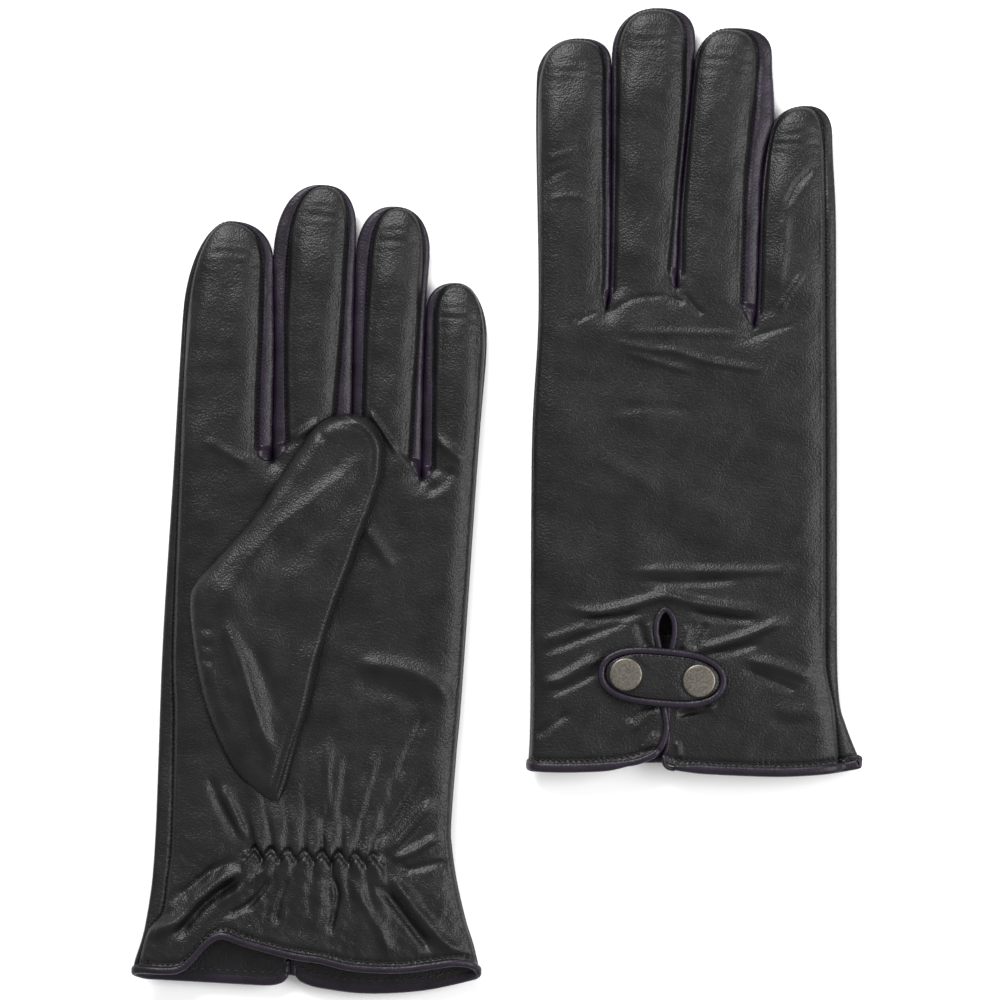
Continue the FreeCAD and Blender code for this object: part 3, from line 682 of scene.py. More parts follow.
def left_palm_relief(x, y):
    """Gathers over the wrist elastic and the soft folds round them, in millimetres."""
    upper = pleats(x, y, *UPPER_PLEATS, 0.013)
    lower = pleats(x, y, *LOWER_PLEATS, 0.012)
    fade_up = smooth((y - 36.2) / 2.2) * np.exp(-np.maximum(y - 40, 0) / 13)
    fade_down = smooth((38.2 - y) / 2.2) * np.exp(-np.maximum(35 - y, 0) / 11)
    relief = 1.9 * upper * fade_up + 2.0 * lower * fade_down
    low_points = [(LOWER_PLEATS[0] + LOWER_PLEATS[2] * k, ZIGZAG_LOW_Y) for k in range(PLEAT_COUNT + 1)]
    high_points = [(UPPER_PLEATS[0] + UPPER_PLEATS[2] * k, ZIGZAG_HIGH_Y) for k in range(PLEAT_COUNT)]
    zigzag = [point for pair in zip(low_points, high_points) for point in pair] + low_points[-1:]
    relief = relief - 1.2 * bell(zigzag_distance(x, y, zigzag), 0.55)
    for low_x, _ in low_points[1:]:
        relief = relief + 0.7 * bell(x - low_x, 0.6) * bell(y - 37.0, 1.1)
    relief = relief + 1.4 * creases(x, y, LEFT_PALM_FOLDS)
    relief = relief + 0.9 * bell(x + 24, 7) * bell(y - 9, 7)
    relief = relief + 0.22 * waves(x, y, 22, 3) + 0.06 * waves(x, y, 6, 4)
    return relief + 0.09 * waves(x, y, 5, 5, 2.0) * smooth((52 - y) / 20)


RIGHT_BACK_FOLDS = [
    ([(-23.1, 136.2), (-16.5, 140.8), (-10, 142), (-3.9, 142.2)], 0.8, -0.45),
    ([(-6.6, 140.7), (-3, 141.2), (0.3, 139.6)], 0.8, -0.5),
    ([(-0.5, 143.5), (2.5, 139.5), (6, 135.9)], 0.8, -0.6),
    ([(-25.8, 137.4), (-29, 136.4), (-33.4, 133.8)], 0.8, -0.5),
    ([(-19, 131.4), (4.1, 131), (21, 130.3)], 1.1, 0.42),
    ([(-24, 129.2), (-11.5, 126.4), (-2.3, 125.4), (6.5, 122.7), (20, 120.4), (28, 120)], 1.1, 0.55),
    ([(-19, 125.9), (-7.8, 122.2), (4, 119)], 1.0, 0.42),
    ([(13, 127), (22, 130.3), (34, 134)], 0.9, -0.5),
    ([(-24, 108), (-12, 109), (-4, 108.4), (5, 106.8)], 1.7, -0.32),
    ([(-28, 97), (-16, 88), (-5, 82)], 2.4, 0.25),
    ([(-20.4, 59), (-5.6, 60), (7.7, 59.7), (25.2, 59.7), (36, 61.7)], 1.4, 0.8),
    ([(-15, 56.5), (-5, 56.3), (8, 56.6), (18, 57.5)], 1.1, -0.7),
    ([(-40, 50.3), (-28.4, 47.4), (-20.4, 48.5), (-12.3, 50.5), (-5.6, 52.2), (1.7, 50.6), (9, 49.2),
      (21, 48.2), (27, 48)], 1.5, 1.2),
    ([(-32, 44.6), (-25, 45.4), (-18, 46), (-12, 47.6)], 1.0, -0.9),
    ([(0.5, 47.6), (8, 46), (16, 45.2), (23, 45.4)], 1.0, -0.9),
    ([(-44, 34.5), (-35, 38), (-27, 41), (-15, 45.5)], 1.2, -0.7),
    ([(-44, 38), (-34, 41.5), (-26, 44)], 1.3, 0.5),
    ([(-44, 25.2), (-38, 27), (-33, 29.6), (-24.4, 34.8)], 1.5, 1.1),
    ([(-41, 22), (-33, 25.8), (-25, 30)], 1.1, -0.7),
    ([(3, 35.5), (14.4, 39), (22.5, 41.8), (32, 46.2)], 1.4, 1.2),
    ([(7, 34), (15, 36), (24, 38.5)], 1.1, -0.8),
    ([(17, 33.6), (28.5, 31), (39.5, 27)], 1.6, 0.9),
    ([(17, 30), (26, 27), (35, 23)], 1.2, -0.6),
    ([(-13.9, 45), (-12.8, 41), (-11.2, 36)], 1.0, -1.0),
    ([(-10.6, 45), (-10.2, 41), (-9.6, 36)], 0.8, 0.6),
    ([(6.8, 45), (4.8, 41), (2, 35.5)], 1.0, -1.0),
    ([(1.2, 44), (0.4, 40), (-1, 36)], 0.8, 0.6),
    ([(-45, 9.5), (-40, 13.5), (-34, 18)], 1.2, -0.7),
    ([(-15.5, 11), (-12, 15), (-7.5, 19.6)], 1.0, 0.8),
    ([(-17.5, 14), (-14, 17.5), (-11, 20.5)], 0.9, -0.7),
    ([(-12.5, 5.6), (-10, 8.8), (-8.2, 12)], 0.9, 0.8),
    ([(-2.5, 16), (2, 17.5), (8, 19)], 1.0, -0.9),
    ([(0, 20), (4, 18.6), (10, 19)], 0.9, 0.7),
    ([(-2.4, 3.6), (-1.8, 6), (-2.4, 9)], 0.9, 0.7),
    ([(26, 18.4), (34, 17.6), (43, 19)], 2.4, 0.45),
    ([(25, 14.6), (34, 14), (42, 15)], 1.8, -0.3),
    ([(27.6, 143), (29.6, 156), (30.2, 169)], 1.6, 0.6),
    ([(29.8, 168), (33.9, 175.4), (39.9, 182)], 1.1, -0.7),
    ([(27.5, 137), (31, 142), (36, 150)], 1.0, 0.5),
    ([(-42, 183), (-37, 184.5), (-31, 186)], 0.8, 0.25),
    ([(-43, 175), (-38, 179), (-33, 181)], 0.8, -0.25),
    ([(-42.5, 170), (-36, 172), (-26, 171)], 0.8, 0.25),
]


def right_back_relief(x, y):
    """Creases across the back of the right hand and round the tab, in millimetres."""
    return 0.25 * waves(x, y, 24, 8) + 0.06 * waves(x, y, 6, 9) + 1.05 * creases(x, y, RIGHT_BACK_FOLDS)


def fingertip_relief(x, y, tip, seed):
    """Faint cross creases where a fingertip bends."""
    return 0.12 * np.sin(y * 2.0 + 0.7 * waves(x, y, 9, seed)) * bell(tip - 9, 3.5)


def plain_relief(x, y):
    return 0.14 * waves(x, y, 22, 12) + 0.05 * waves(x, y, 6, 13)


def right_palm_relief(x, y):
    """The right palm, underneath, is gathered over its elastic like the left one."""
    return -0.6 * left_palm_relief(x, y)


RELIEF = {
    ("left", "top"): left_palm_relief,
    ("left", "low"): plain_relief,
    ("right", "top"): right_back_relief,
    ("right", "low"): right_palm_relief,
}


def hem_dent(glove, side, x, y):
    """The row of stitches along the hem pulls the leather down into small puckers."""
    from_row = y - line_y(glove["top_hem"], x) - HEM_STITCH_INSET[side]
    pucker = 1 + 0.7 * np.sin(x * 2 * math.pi / HEM_STITCH_PITCH)
    return -0.42 * pucker * bell(from_row, 0.75)


def lifted(side, face, grid):
    """The grid's points with their z, creases included."""
    glove = GLOVES[side]
    x, y = grid["x"], grid["y"]
    z = surface(glove, face, x, y, grid["near"], grid["tip"])
    relief = RELIEF[side, face](x, y) + fingertip_relief(x, y, grid["tip"], 21)
    relief = relief * smooth(grid["near"] / 4 + 0.15)
    if face == "top":
        relief = relief + 0.22 * bell(grid["near"] - 1.2, 0.55) + hem_dent(glove, side, x, y)
    limit = 0.0 if face == "low" else -2.0
    return np.stack([x, y, z + np.maximum(relief, limit)], axis=-1)


def height_at(side, face, x, y):
    """z of a panel at any place on the hand, below the knuckles."""
    glove = GLOVES[side]
    x, y = np.asarray(x, float), np.asarray(y, float)
    near = from_hand_edges(glove, panel_seams(glove, face), x, y)
    points = lifted(side, face, {"x": x, "y": y, "near": near, "tip": np.full(np.shape(x), FAR_FROM_TIP)})
    return points[..., 2]


# ---------------------------------------------------------------- walls between the panels

def finger_outline(glove, finger, rows, u):
    """The finger's outer edges, point for point beside the panel's: left, right and tip."""
    edges = []
    for edge in (0, 1):
        y, valley = finger_rows(glove, finger, edge, rows, 0.0)
        edges.append(np.stack([line_x(valley or glove["outline"][edge], y), y], axis=1))
    tip_x = edges[0][-1, 0] + (edges[1][-1, 0] - edges[0][-1, 0]) * u
    tip_y = tip_curve(glove, finger, u, 0.0)
    return edges[0], edges[1], np.stack([tip_x, tip_y], axis=1)


def half_way(row, edge):
    """A row of points from one edge to the middle, in that order, without its first point."""
    row = row if edge == 0 else row[::-1]
    return row[1:len(row) // 2 + 1]


def wall(top, outline, low, rings=9):
    """A bulging strip from the top seam, out to the outline and back in to the low seam."""
    out = []
    middle = (top[:, 2] + low[:, 2]) / 2
    for angle in np.linspace(0, math.pi, rings):
        end = top if angle < math.pi / 2 else low
        reach = 1 - math.sin(angle)
        xy = outline + (end[:, :2] - outline) * reach
        z = middle + (end[:, 2] - middle) * abs(math.cos(angle))
        out.append(np.concatenate([xy, z[:, None]], axis=1))
    return np.stack(out, axis=1)


class Shell:
    """Every grid of one glove: both panels, the outline beside them and the walls."""

    def __init__(self, side):
        self.side = side
        self.glove = GLOVES[side]
        self.hand = {}
        self.fingers = {}
        for face in ("top", "low"):
            hand, fingers = panel_grids(self.glove, face)
            self.hand[face] = lifted(side, face, hand)
            self.fingers[face] = [lifted(side, face, grid) for grid in fingers]
        tips = [grid[-1, :, 0] for grid in self.fingers["top"]]
        self.across_tip = [(x - x[0]) / (x[-1] - x[0]) for x in tips]

    def finger_wall(self, finger, edge):
        """The strip down one side of a finger and round half its tip."""
        rows = self.fingers["top"][finger].shape[0]
        outline = finger_outline(self.glove, finger, rows, self.across_tip[finger])
        outline = np.vstack([outline[edge], half_way(outline[2], edge)])
        return wall(self.seam_lines(finger, edge), outline, self.seam_lines(finger, edge, "low"))

    def side_wall(self, edge):
        """The wall down one side of the hand and on round the outer finger to its tip."""
        column = 0 if edge == 0 else -1
        top = self.hand["top"][:, column]
        low = self.hand["low"][:, column]
        y = (top[:, 1] + low[:, 1]) / 2
        outline = np.stack([line_x(self.glove["outline"][edge], y), y], axis=1)
        hand = wall(top, outline, low)
        finger = self.finger_wall(0 if edge == 0 else 3, edge)
        return np.vstack([hand, finger[1:]])

    def seam_lines(self, finger, edge, face="top"):
        grid = self.fingers[face][finger]
        return np.vstack([grid[:, 0 if edge == 0 else -1], half_way(grid[-1], edge)])


def inside_polygon(x, y, polygon):
    inside = np.zeros(np.shape(x), bool)
    for (ax, ay), (bx, by) in zip(polygon, polygon[1:] + polygon[:1]):
        crosses = (ay > y) != (by > y)
        at = ax + (y - ay) * (bx - ax) / (by - ay + 1e-12)
        inside ^= crosses & (x < at)
    return inside


def settle(obj, body, nodes, material):
    """Puts a finished piece on its body, in place of its CAD nodes, with its material."""
    if nodes:
        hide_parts(*nodes)
    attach(obj, body)
    return dress(obj, material)


def dress(obj, material):
    obj.data.materials.clear()
    obj.data.materials.append(MATERIALS[material])
    return obj


def quads_kept(grid, polygon):
    """False for the quads whose middle lies in the polygon."""
    middle = (grid[:-1, :-1] + grid[1:, 1:]) / 2
    return ~inside_polygon(middle[..., 0], middle[..., 1], polygon)


def build_panels(side, shell):
    """The two leather panels, each with the side wall that wraps round from it."""
    glove = GLOVES[side]
    for face in ("top", "low"):
        is_back = (face == "top") == (side == "right")
        up = face == "top"
        keep = quads_kept(shell.hand[face], SLIT_AREA[side]) if is_back else None
        grids = [(shell.hand[face], not up, keep)]
        grids += [(grid, not up, None) for grid in shell.fingers[face]]
        edge = wrap_side(glove, face)
        grids.append((shell.side_wall(edge), edge == 0, None))
        name = f"{side}_back_panel" if is_back else f"{side}_palm_panel"
        panel = thicken(make_grids(name + "_leather", on_glove(side), grids), PANEL_LEATHER)
        settle(panel, f"{side}_hand", [name], "leather")


FOURCHETTES = (
    ("fourchette_index", 0, 1),
    ("fourchette_middle_inner", 1, 0),
    ("fourchette_middle_outer", 1, 1),
    ("fourchette_ring_inner", 2, 0),
    ("fourchette_ring_outer", 2, 1),
    ("fourchette_little", 3, 0),
)


def build_fourchettes(side, shell):
    for name, finger, edge in FOURCHETTES:
        grid = shell.finger_wall(finger, edge)
        rows, rings = grid.shape[:2]
        along = np.linspace(0, 1, rows)[:, None]
        ripple = 0.1 * waves(grid[..., 1], grid[..., 2] * 2.5, 7, 30 + finger * 2 + edge)
        puffed = np.sin(np.linspace(0, math.pi, rings))[None, :] * smooth(along * 8)
        grid = grid.copy()
        grid[..., 2] += ripple * puffed
        strip = make_grids(f"{side}_{name}_strip", on_glove(side), [(grid, edge == 0, None)])
        strip = thicken(strip, FOURCHETTE_LEATHER)
        settle(strip, f"{side}_hand", [f"{side}_{name}"], "purple")


# ---------------------------------------------------------------- lining, facing and elastic

def build_lining(side, shell):
    """Thin sheets just inside the panels: leather facing at the cuff, knit beyond it."""
    for face, inward in (("top", -LINING_INSET), ("low", LINING_INSET)):
        hand = shell.hand[face][:, 2:-2].copy()
        hand[..., 2] += inward
        rows, columns = hand.shape[:2]
        row = int(np.argmin(abs(hand[:, columns // 2, 1] - FACING_TOP_Y)))
        is_back = (face == "top") == (side == "right")
        flip = face == "top"
        keep = np.ones((rows - 1, columns - 1), bool)
        if is_back:
            keep = quads_kept(hand, SLIT_AREA[side])
        cuff = [(hand[:row + 1], flip, keep[:row])]
        rest = [(hand[row:], flip, keep[row:])]
        for grid in shell.fingers[face]:
            inner = grid[:-4, 3:-3].copy()
            inner[..., 2] += inward
            rest.append((inner, flip, None))
        facing = thicken(make_grids(f"{side}_{face}_facing_sheet", on_glove(side), cuff), LINING_SHEET)
        settle(facing, f"{side}_hand", [f"{side}_cuff_facing"], "leather")
        knit = thicken(make_grids(f"{side}_{face}_lining_sheet", on_glove(side), rest), LINING_SHEET)
        settle(knit, f"{side}_hand", [f"{side}_lining"], "knit")


def build_elastic(side):
    """A narrow gathered elastic between the palm and its lining."""
    face = "top" if side == "left" else "low"
    x, y = np.meshgrid(np.linspace(-20, 26, 140), np.linspace(34.4, 40.4, 8))
    inward = -1 if face == "top" else 1
    z = height_at(side, face, x, y) + inward * (1.9 + 0.25 * np.sin(x * 2 * math.pi / 2.6))
    grid = np.stack([x, y, z], axis=-1)
    web = make_grids(f"{side}_wrist_elastic_web", on_glove(side), [(grid, False, None)])
    web = thicken(web, ELASTIC_SHEET)
    settle(web, f"{side}_hand", [f"{side}_wrist_elastic"], "knit")


# ---------------------------------------------------------------- bindings and stitching

# How far the strip sits beyond each hem, and half its width
HEM_BINDING = {
    ("left", "top"): (-0.9, 1.15),
    ("left", "low"): (0.1, 1.85),
    ("right", "top"): (-0.3, 1.5),
    ("right", "low"): (0.0, 1.4),
}


def hem_line(side, face, first_x, last_x, offset, lift):
    """A line along the hem from one x to another, offset in y and lifted off the panel."""
    x = np.linspace(first_x, last_x, max(2, int(abs(last_x - first_x) / 0.9)))
    y = line_y(GLOVES[side][face + "_hem"], x)
    z = height_at(side, face, x, y + 0.3) + lift
    return np.stack([x, y + offset, z], axis=1)


def along_hem(side, face, first_x, last_x):
    """A run of the hem strip: its path, with half its width as a fourth column."""
    beyond, half = HEM_BINDING[side, face]
    line = hem_line(side, face, first_x, last_x, beyond, -0.35 if face == "top" else 0.35)
    return np.column_stack([line, np.full(len(line), half)])


def round_side(shell, edge, downwards):
    """The hem strip where it turns round one side of the hand."""
    ring = shell.side_wall(edge)[0]
    ring = (ring if downwards else ring[::-1])[2:-2].copy()
    ring[:, 1] -= 0.4
    return np.column_stack([ring, np.full(len(ring), 1.4)])


def from_ends(path, step):
    """Distance of each point of an even path to its nearer end."""
    number = np.arange(len(path))
    return np.minimum(number, number[::-1]) * step


def build_hem_binding(side, shell):
    """The strip bound round the hem, from one side of the slit right round to the other."""
    face, other = ("top", "low") if side == "right" else ("low", "top")
    index_x, little_x = -46.5, 53.0
    right_end, left_end = (-1.9, -3.4) if side == "left" else (-3.4, -15.0)
    runs = [
        along_hem(side, face, right_end, little_x),
        round_side(shell, 1, face == "top"),
        along_hem(side, other, little_x, index_x),
        round_side(shell, 0, face == "low"),
        along_hem(side, face, index_x, left_end),
    ]
    step = 0.8
    strip = even_path(np.vstack(runs), step)
    kernel = np.hanning(7) / np.hanning(7).sum()
    padded = np.pad(strip, ((3, 3), (0, 0)), mode="edge")
    strip = np.stack([np.convolve(padded[:, k], kernel, mode="valid") for k in range(4)], axis=1)
    end_half = 0.95
    taper = 9 if side == "right" else 3
    half = end_half + (strip[:, 3] - end_half) * smooth(from_ends(strip, step) / taper)
    tube = sweep(f"{side}_hem_binding_strip", on_glove(side), strip[:, :3], half, 0.85, wide=[0, 1, 0])
    settle(tube, f"{side}_hand", [f"{side}_hem_binding"], "purple")


def build_slit_binding(side):
    """The strip round the slit. Below the tab its first half lies on the upper flap, and on the
    right glove its second half is tucked beneath."""
    face = "top" if side == "right" else "low"
    step = 0.5
    line = even_path(dense(SLIT_EDGE[side]), step)
    outwards = 1 if face == "top" else -1
    upper_flap = np.linspace(1, -1, len(line)) * (1 - smooth((line[:, 1] - 14) / 8))
    beneath = np.clip(-upper_flap, 0, 1) if side == "right" else 0 * upper_flap
    tucked_end = bell(from_ends(line, step), 4)
    z = height_at(side, face, line[:, 0], np.maximum(line[:, 1], 2))
    z = z + outwards * (0.05 + 0.3 * upper_flap - 0.3 * beneath - 0.65 * tucked_end)
    path = np.column_stack([line, z])
    wide = 0.95 + 0.1 * np.clip(upper_flap, 0, 1) - 0.3 * beneath
    tube = sweep(f"{side}_keyhole_binding_strip", on_glove(side), path, wide, 0.8)
    settle(tube, f"{side}_hand", [f"{side}_keyhole_binding"], "purple")


# Where each row of hem stitches starts and ends, either side of the slit on the right glove
HEM_STITCH_RUNS = {"left": [(-47, 51)], "right": [(-45, -13), (-2.5, 51)]}


def build_stitching(side, shell):
    """Dark stitches along every seam, and along the hem. The left glove's open mouth also shows
    the purple stitches of its facing."""
    paths = [shell.seam_lines(finger, edge)[3:] for _, finger, edge in FOURCHETTES]
    open_edge = 1 - wrap_side(GLOVES[side], "top")
    column, finger = (0, 0) if open_edge == 0 else (-1, 3)
    paths.append(np.vstack([shell.hand["top"][6:, column], shell.seam_lines(finger, open_edge)[1:]]))
    seams = stitches(f"{side}_seam_stitches", on_glove(side), paths, lift=0.06)
    settle(seams, f"{side}_hand", [], "thread")
    inset = HEM_STITCH_INSET[side]
    rows = [hem_line(side, "top", first, last, inset, 0.05) for first, last in HEM_STITCH_RUNS[side]]
    hem = stitches(f"{side}_hem_stitches", on_glove(side), rows, HEM_STITCH_PITCH, 1.1, 0.24)
    settle(hem, f"{side}_hand", [], "thread")
    if side == "left":
        rows = [hem_line("left", "low", -44, 48, 2.4, 1.35)]
        inside = stitches("left_facing_stitches", on_glove("left"), rows, 2.6, 1.5, 0.25)
        settle(inside, "left_hand", [], "purple_thread")


# ---------------------------------------------------------------- thumb

THUMB_FOLDS = [
    ([(13, 160), (10.6, 156.8), (-1.8, 144.4), (-13.7, 134.3), (-23.2, 122), (-26, 117)], 2.8, 0.95),
    ([(13, 151), (4, 140), (-8, 129), (-18, 118)], 4.2, -0.5),
    ([(-28.5, 108), (-25.6, 100.7), (-22.1, 92.2), (-17.9, 80.7), (-13.7, 70.7), (-9.5, 66)], 2.1, 1.5),
    ([(-33, 100), (-29.5, 92), (-26, 82), (-20, 71)], 2.4, -0.25),
    ([(-20, 100), (-14.5, 88), (-9.8, 76)], 2.2, -0.7),
    ([(-5, 166), (-3, 163.5), (-1, 160.5)], 1.2, -0.3),
    ([(-37, 104), (-34, 103), (-31.5, 103.5)], 0.8, -0.4),
    ([(-36.5, 99.5), (-33.5, 98), (-31, 98.5)], 0.8, -0.4),
    ([(-35.5, 95), (-33, 93.5), (-30.5, 94)], 0.8, -0.4),
]


def thumb_relief(x, y):
    """Soft folds of the thumb where it turns over onto the palm, in millimetres."""
    relief = 0.3 * waves(x, y, 20, 17) + 0.08 * waves(x, y, 6, 18) + 1.2 * creases(x, y, THUMB_FOLDS)
    return relief + 1.3 * bell(x + 28.3, 4.6) * bell(y - 113.4, 5)


# Height of the palm under each thumb
LEFT_PALM_Z = 10.3
RIGHT_PALM_Z = 4.0


def build_thumb(side):
    """Lobe and thumb in one piece of leather. Only the left one
    shows its stitched ridge along the right edge."""
    shift = 0.0 if side == "left" else RIGHT_THUMB_SHIFT
    y = THUMB_FOOT_Y + (THUMB_TIP_Y - THUMB_FOOT_Y) * cosine_steps(200, 0.9)[:, None]
    left = line_x(THUMB_LEFT_EDGE, y)
    right = line_x(THUMB_RIGHT_EDGE, y)
    x = left + (right - left) * cosine_steps(81, 0.85)
    y = y + 0 * x
    from_left = along_line(x, y, THUMB_LEFT_EDGE)[0]
    from_right = along_line(x, y, THUMB_RIGHT_EDGE)[0]
    near = np.minimum(from_left, from_right)
    taper = 0.45 + 0.55 * smooth((y - 51) / 34)
    relief = thumb_relief(x, y) * smooth(near / 3.5)
    if side == "left":
        from_edge = np.minimum(from_left / 5.2, from_right / 2.6)
        ridge = 0.35 * bell(from_right - 2.6, 0.6) - 0.4 * bell(from_right - 3.9, 0.7)
        ridge = ridge - 0.4 * bell(from_right - 1.4, 0.5)
        ridge = ridge * (0.12 + 0.8 * bell(y - 62, 12) + 0.3 * bell(y - 156, 9))
        body = LEFT_PALM_Z + 4.9 * taper * rounded(from_edge, 1) + relief + ridge
        floor = np.full(np.shape(x), LEFT_PALM_Z - 0.05)
    else:
        body = RIGHT_PALM_Z - 3.3 * taper * rounded(near, 7.0) - 0.3 * np.clip(relief, -0.5, 0.5)
        floor = np.full(np.shape(x), RIGHT_PALM_Z + 0.05)
    outer = np.stack([x, y + shift, body], axis=-1)
    inner = np.stack([x, y + shift, floor], axis=-1)
    flip = side == "left"
    grids = [(outer, not flip, None), (inner, flip, None)]
    thumb = make_grids(f"{side}_thumb_leather_painted_lighter", on_glove(side), grids)
    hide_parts(f"{side}_thumb", f"{side}_thumb_base", f"{side}_thumb_lining")
    bend_thumb(thumb)
    # The thumb's leather is painted lighter than the rest of the glove, as painted light for its rounder shape.
    dress(thumb, "thumb_leather_painted_lighter")
    if side == "left":
        paths = []
        for column, last_y in ((3, 122), (-6, 165)):
            seam = outer[:, column]
            paths.append(seam[(seam[:, 1] > 56) & (seam[:, 1] < last_y)])
        rows = stitches("left_thumb_stitches", on_glove("left"), paths, radius=0.15)
        bend_thumb(rows)
        dress(rows, "thread")


def bend_thumb(obj):
    """Bakes the piece's placement into its points."""
    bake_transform(obj)


# ---------------------------------------------------------------- tab and its caps

TAB_HALF = 10.8
TAB_RADIUS = 8.5
TAB_LEATHER = 0.7
TAB_BACKING = 0.6
# Heights of the tab's layers, measured outwards from under the tab
TAB_BACKING_H = 1.35
TAB_PIPING_H = 2.15
TAB_LEATHER_H = 2.75
CAP_BASE_H = 2.8
CAP_FACE_H = 4.0
CAP_FROM_MIDDLE = 11.0
CAP_RADIUS = 5.0


def on_tab(side):
    """Places points given in the tab's own millimetres: x towards the rivet, z outwards."""
    popper = [np.array(c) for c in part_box(f"{side}_popper_cap")]
    rivet = [np.array(c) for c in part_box(f"{side}_rivet_cap")]
    x_axis = (sum(rivet) - sum(popper)) / 2
    x_axis[2] = 0
    x_axis /= np.linalg.norm(x_axis)
    outwards = np.array([0, 0, 1.0 if side == "right" else -1.0])
    y_axis = np.cross(outwards, x_axis)
    centre = (sum(rivet) + sum(popper)) / 4
    face = max(rivet[0][2], rivet[1][2]) if side == "right" else min(rivet[0][2], rivet[1][2])
    centre[2] = face - outwards[2] * CAP_FACE_H * MM
    axes = np.array([x_axis, y_axis, outwards])
    return lambda points: centre + np.asarray(points, float) @ axes * MM


def stadium(radius, count):
    """A long barrel-shaped outline with rounded ends."""
    angle = np.linspace(0, 2 * math.pi, count, endpoint=False)
    c, s = np.cos(angle), np.sin(angle)
    x = np.sign(c) * abs(c) ** (2 / 3.1) * (TAB_HALF + radius)
    y = np.sign(s) * abs(s) ** (2 / 2.15) * radius * 1.02
    return np.stack([x, y], axis=1)


def even_stadium(radius, count):
    path = stadium(radius, 720)
    return even_path(np.vstack([path, path[:1]]), count=count)


def disc_mesh(name, put, outline, heights, flip=False):
    """A filled outline: rings that shrink towards the middle, at the given heights(r, x, y)."""
    count = len(outline)
    shares = np.linspace(1, 0, 15)[:-1]
    points = []
    for share in shares:
        ring = outline * share
        z = heights(np.full(count, share), ring[:, 0], ring[:, 1])
        points.append(np.column_stack([ring, z]))
    zero = np.zeros(1)
    points.append([[0, 0, heights(zero, zero, zero)[0]]])
    points = np.vstack(points)
    faces = ring_faces(len(shares), count)
    last = (len(shares) - 1) * count
    for k in range(count):
        faces.append([last + k, last + (k + 1) % count, len(points) - 1])
    if flip:
        faces = [f[::-1] for f in faces]
    return make_mesh(name, put(points), faces)


def bend_tab(obj, put):
    start = put([7.0, 0, 2.8])
    end = put([2.6, 0, 2.8])
    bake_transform(obj)


def tab_height(share, x, y):
    """The tab's leather: slightly padded, pressed down round the two caps."""
    z = TAB_LEATHER_H + 0.35 * (1 - share**4) - 0.5 * smooth((share - 0.9) / 0.1)
    for cap_x in (-CAP_FROM_MIDDLE, CAP_FROM_MIDDLE):
        z = z - 0.25 * bell(np.hypot(x - cap_x, y) - CAP_RADIUS - 0.2, 1.2)
    return z + 0.05 * waves(x, y, 7, 41)


def backing_height(share, x, y):
    return TAB_BACKING_H + 0 * share


def build_tab(side):
    put = on_tab(side)
    outline = even_stadium(TAB_RADIUS - 1.6, 132)
    leather = thicken(disc_mesh(f"{side}_tab_leather", put, outline, tab_height), TAB_LEATHER)
    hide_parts(f"{side}_tab_top", f"{side}_tab_root")
    backing = disc_mesh(f"{side}_tab_backing_leather", put, outline, backing_height, flip=True)
    backing = thicken(backing, TAB_BACKING)
    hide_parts(f"{side}_tab_backing", f"{side}_tab_root_backing")
    bead_line = even_stadium(TAB_RADIUS - 0.95, 150)
    bead_path = np.column_stack([bead_line, np.full(len(bead_line), TAB_PIPING_H)])
    bead = sweep(f"{side}_tab_piping_bead", put, bead_path, 1.08, 1.0, closed=True, sides=14)
    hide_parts(f"{side}_tab_piping", f"{side}_tab_root_piping")
    thread_line = even_stadium(TAB_RADIUS - 2.4, 400)
    rows = []
    for keep in (thread_line[:, 1] > 2.5, thread_line[:, 1] < -2.5):
        row = thread_line[keep & (abs(thread_line[:, 0]) < 9.5)]
        row = row[np.argsort(row[:, 0])]
        share = np.full(len(row), 0.89)
        rows.append(np.column_stack([row, tab_height(share, row[:, 0], row[:, 1]) + 0.03]))
    thread = stitches(f"{side}_tab_stitches", put, rows, pitch=1.3, length=0.9, radius=0.22)
    for obj, slot, material in (
        (leather, "black_leather", "leather"),
        (backing, "black_leather", "leather"),
        (bead, "purple_leather", "purple"),
        (thread, "black_leather", "thread"),
    ):
        bend_tab(obj, put)
        dress(obj, material)


# (radius, height) from the middle of a cap over its rim and back in underneath
CAP_PROFILE = [(0.0, 1.12), (1.5, 1.12), (3.0, 1.11), (4.2, 1.1), (4.5, 1.08), (4.68, 1.02), (4.88, 0.82),
               (4.98, 0.55), (CAP_RADIUS, 0.3), (CAP_RADIUS, 0.0), (4.4, -0.15), (0.0, -0.15)]


def build_caps(side):
    put = on_tab(side)
    count = 96
    caps = (("popper_cap", -CAP_FROM_MIDDLE, f"{side}_tab"), ("rivet_cap", CAP_FROM_MIDDLE, f"{side}_hand"))
    for name, x, body in caps:
        angle = np.linspace(0, 2 * math.pi, count, endpoint=False)
        rings = [np.column_stack([x + r * np.cos(angle), r * np.sin(angle), np.full(count, CAP_BASE_H + h)])
                 for r, h in CAP_PROFILE]
        faces = [face[::-1] for face in ring_faces(len(rings), count)]
        cap = make_mesh(f"{side}_{name}_metal", put(np.vstack(rings)), faces, merge=1e-6)
        settle(cap, body, [f"{side}_{name}"], "gunmetal")


# ---------------------------------------------------------------- materials

def new_material(name, color, roughness, specular=0.5, metallic=0.0):
    material = bpy.data.materials.new(name)
    material.use_nodes = True
    shader = material.node_tree.nodes["Principled BSDF"]
    shader.inputs["Base Color"].default_value = (*color, 1)
    shader.inputs["Roughness"].default_value = roughness
    shader.inputs["Specular IOR Level"].default_value = specular
    shader.inputs["Metallic"].default_value = metallic
    return material, material.node_tree.nodes, material.node_tree.links, shader


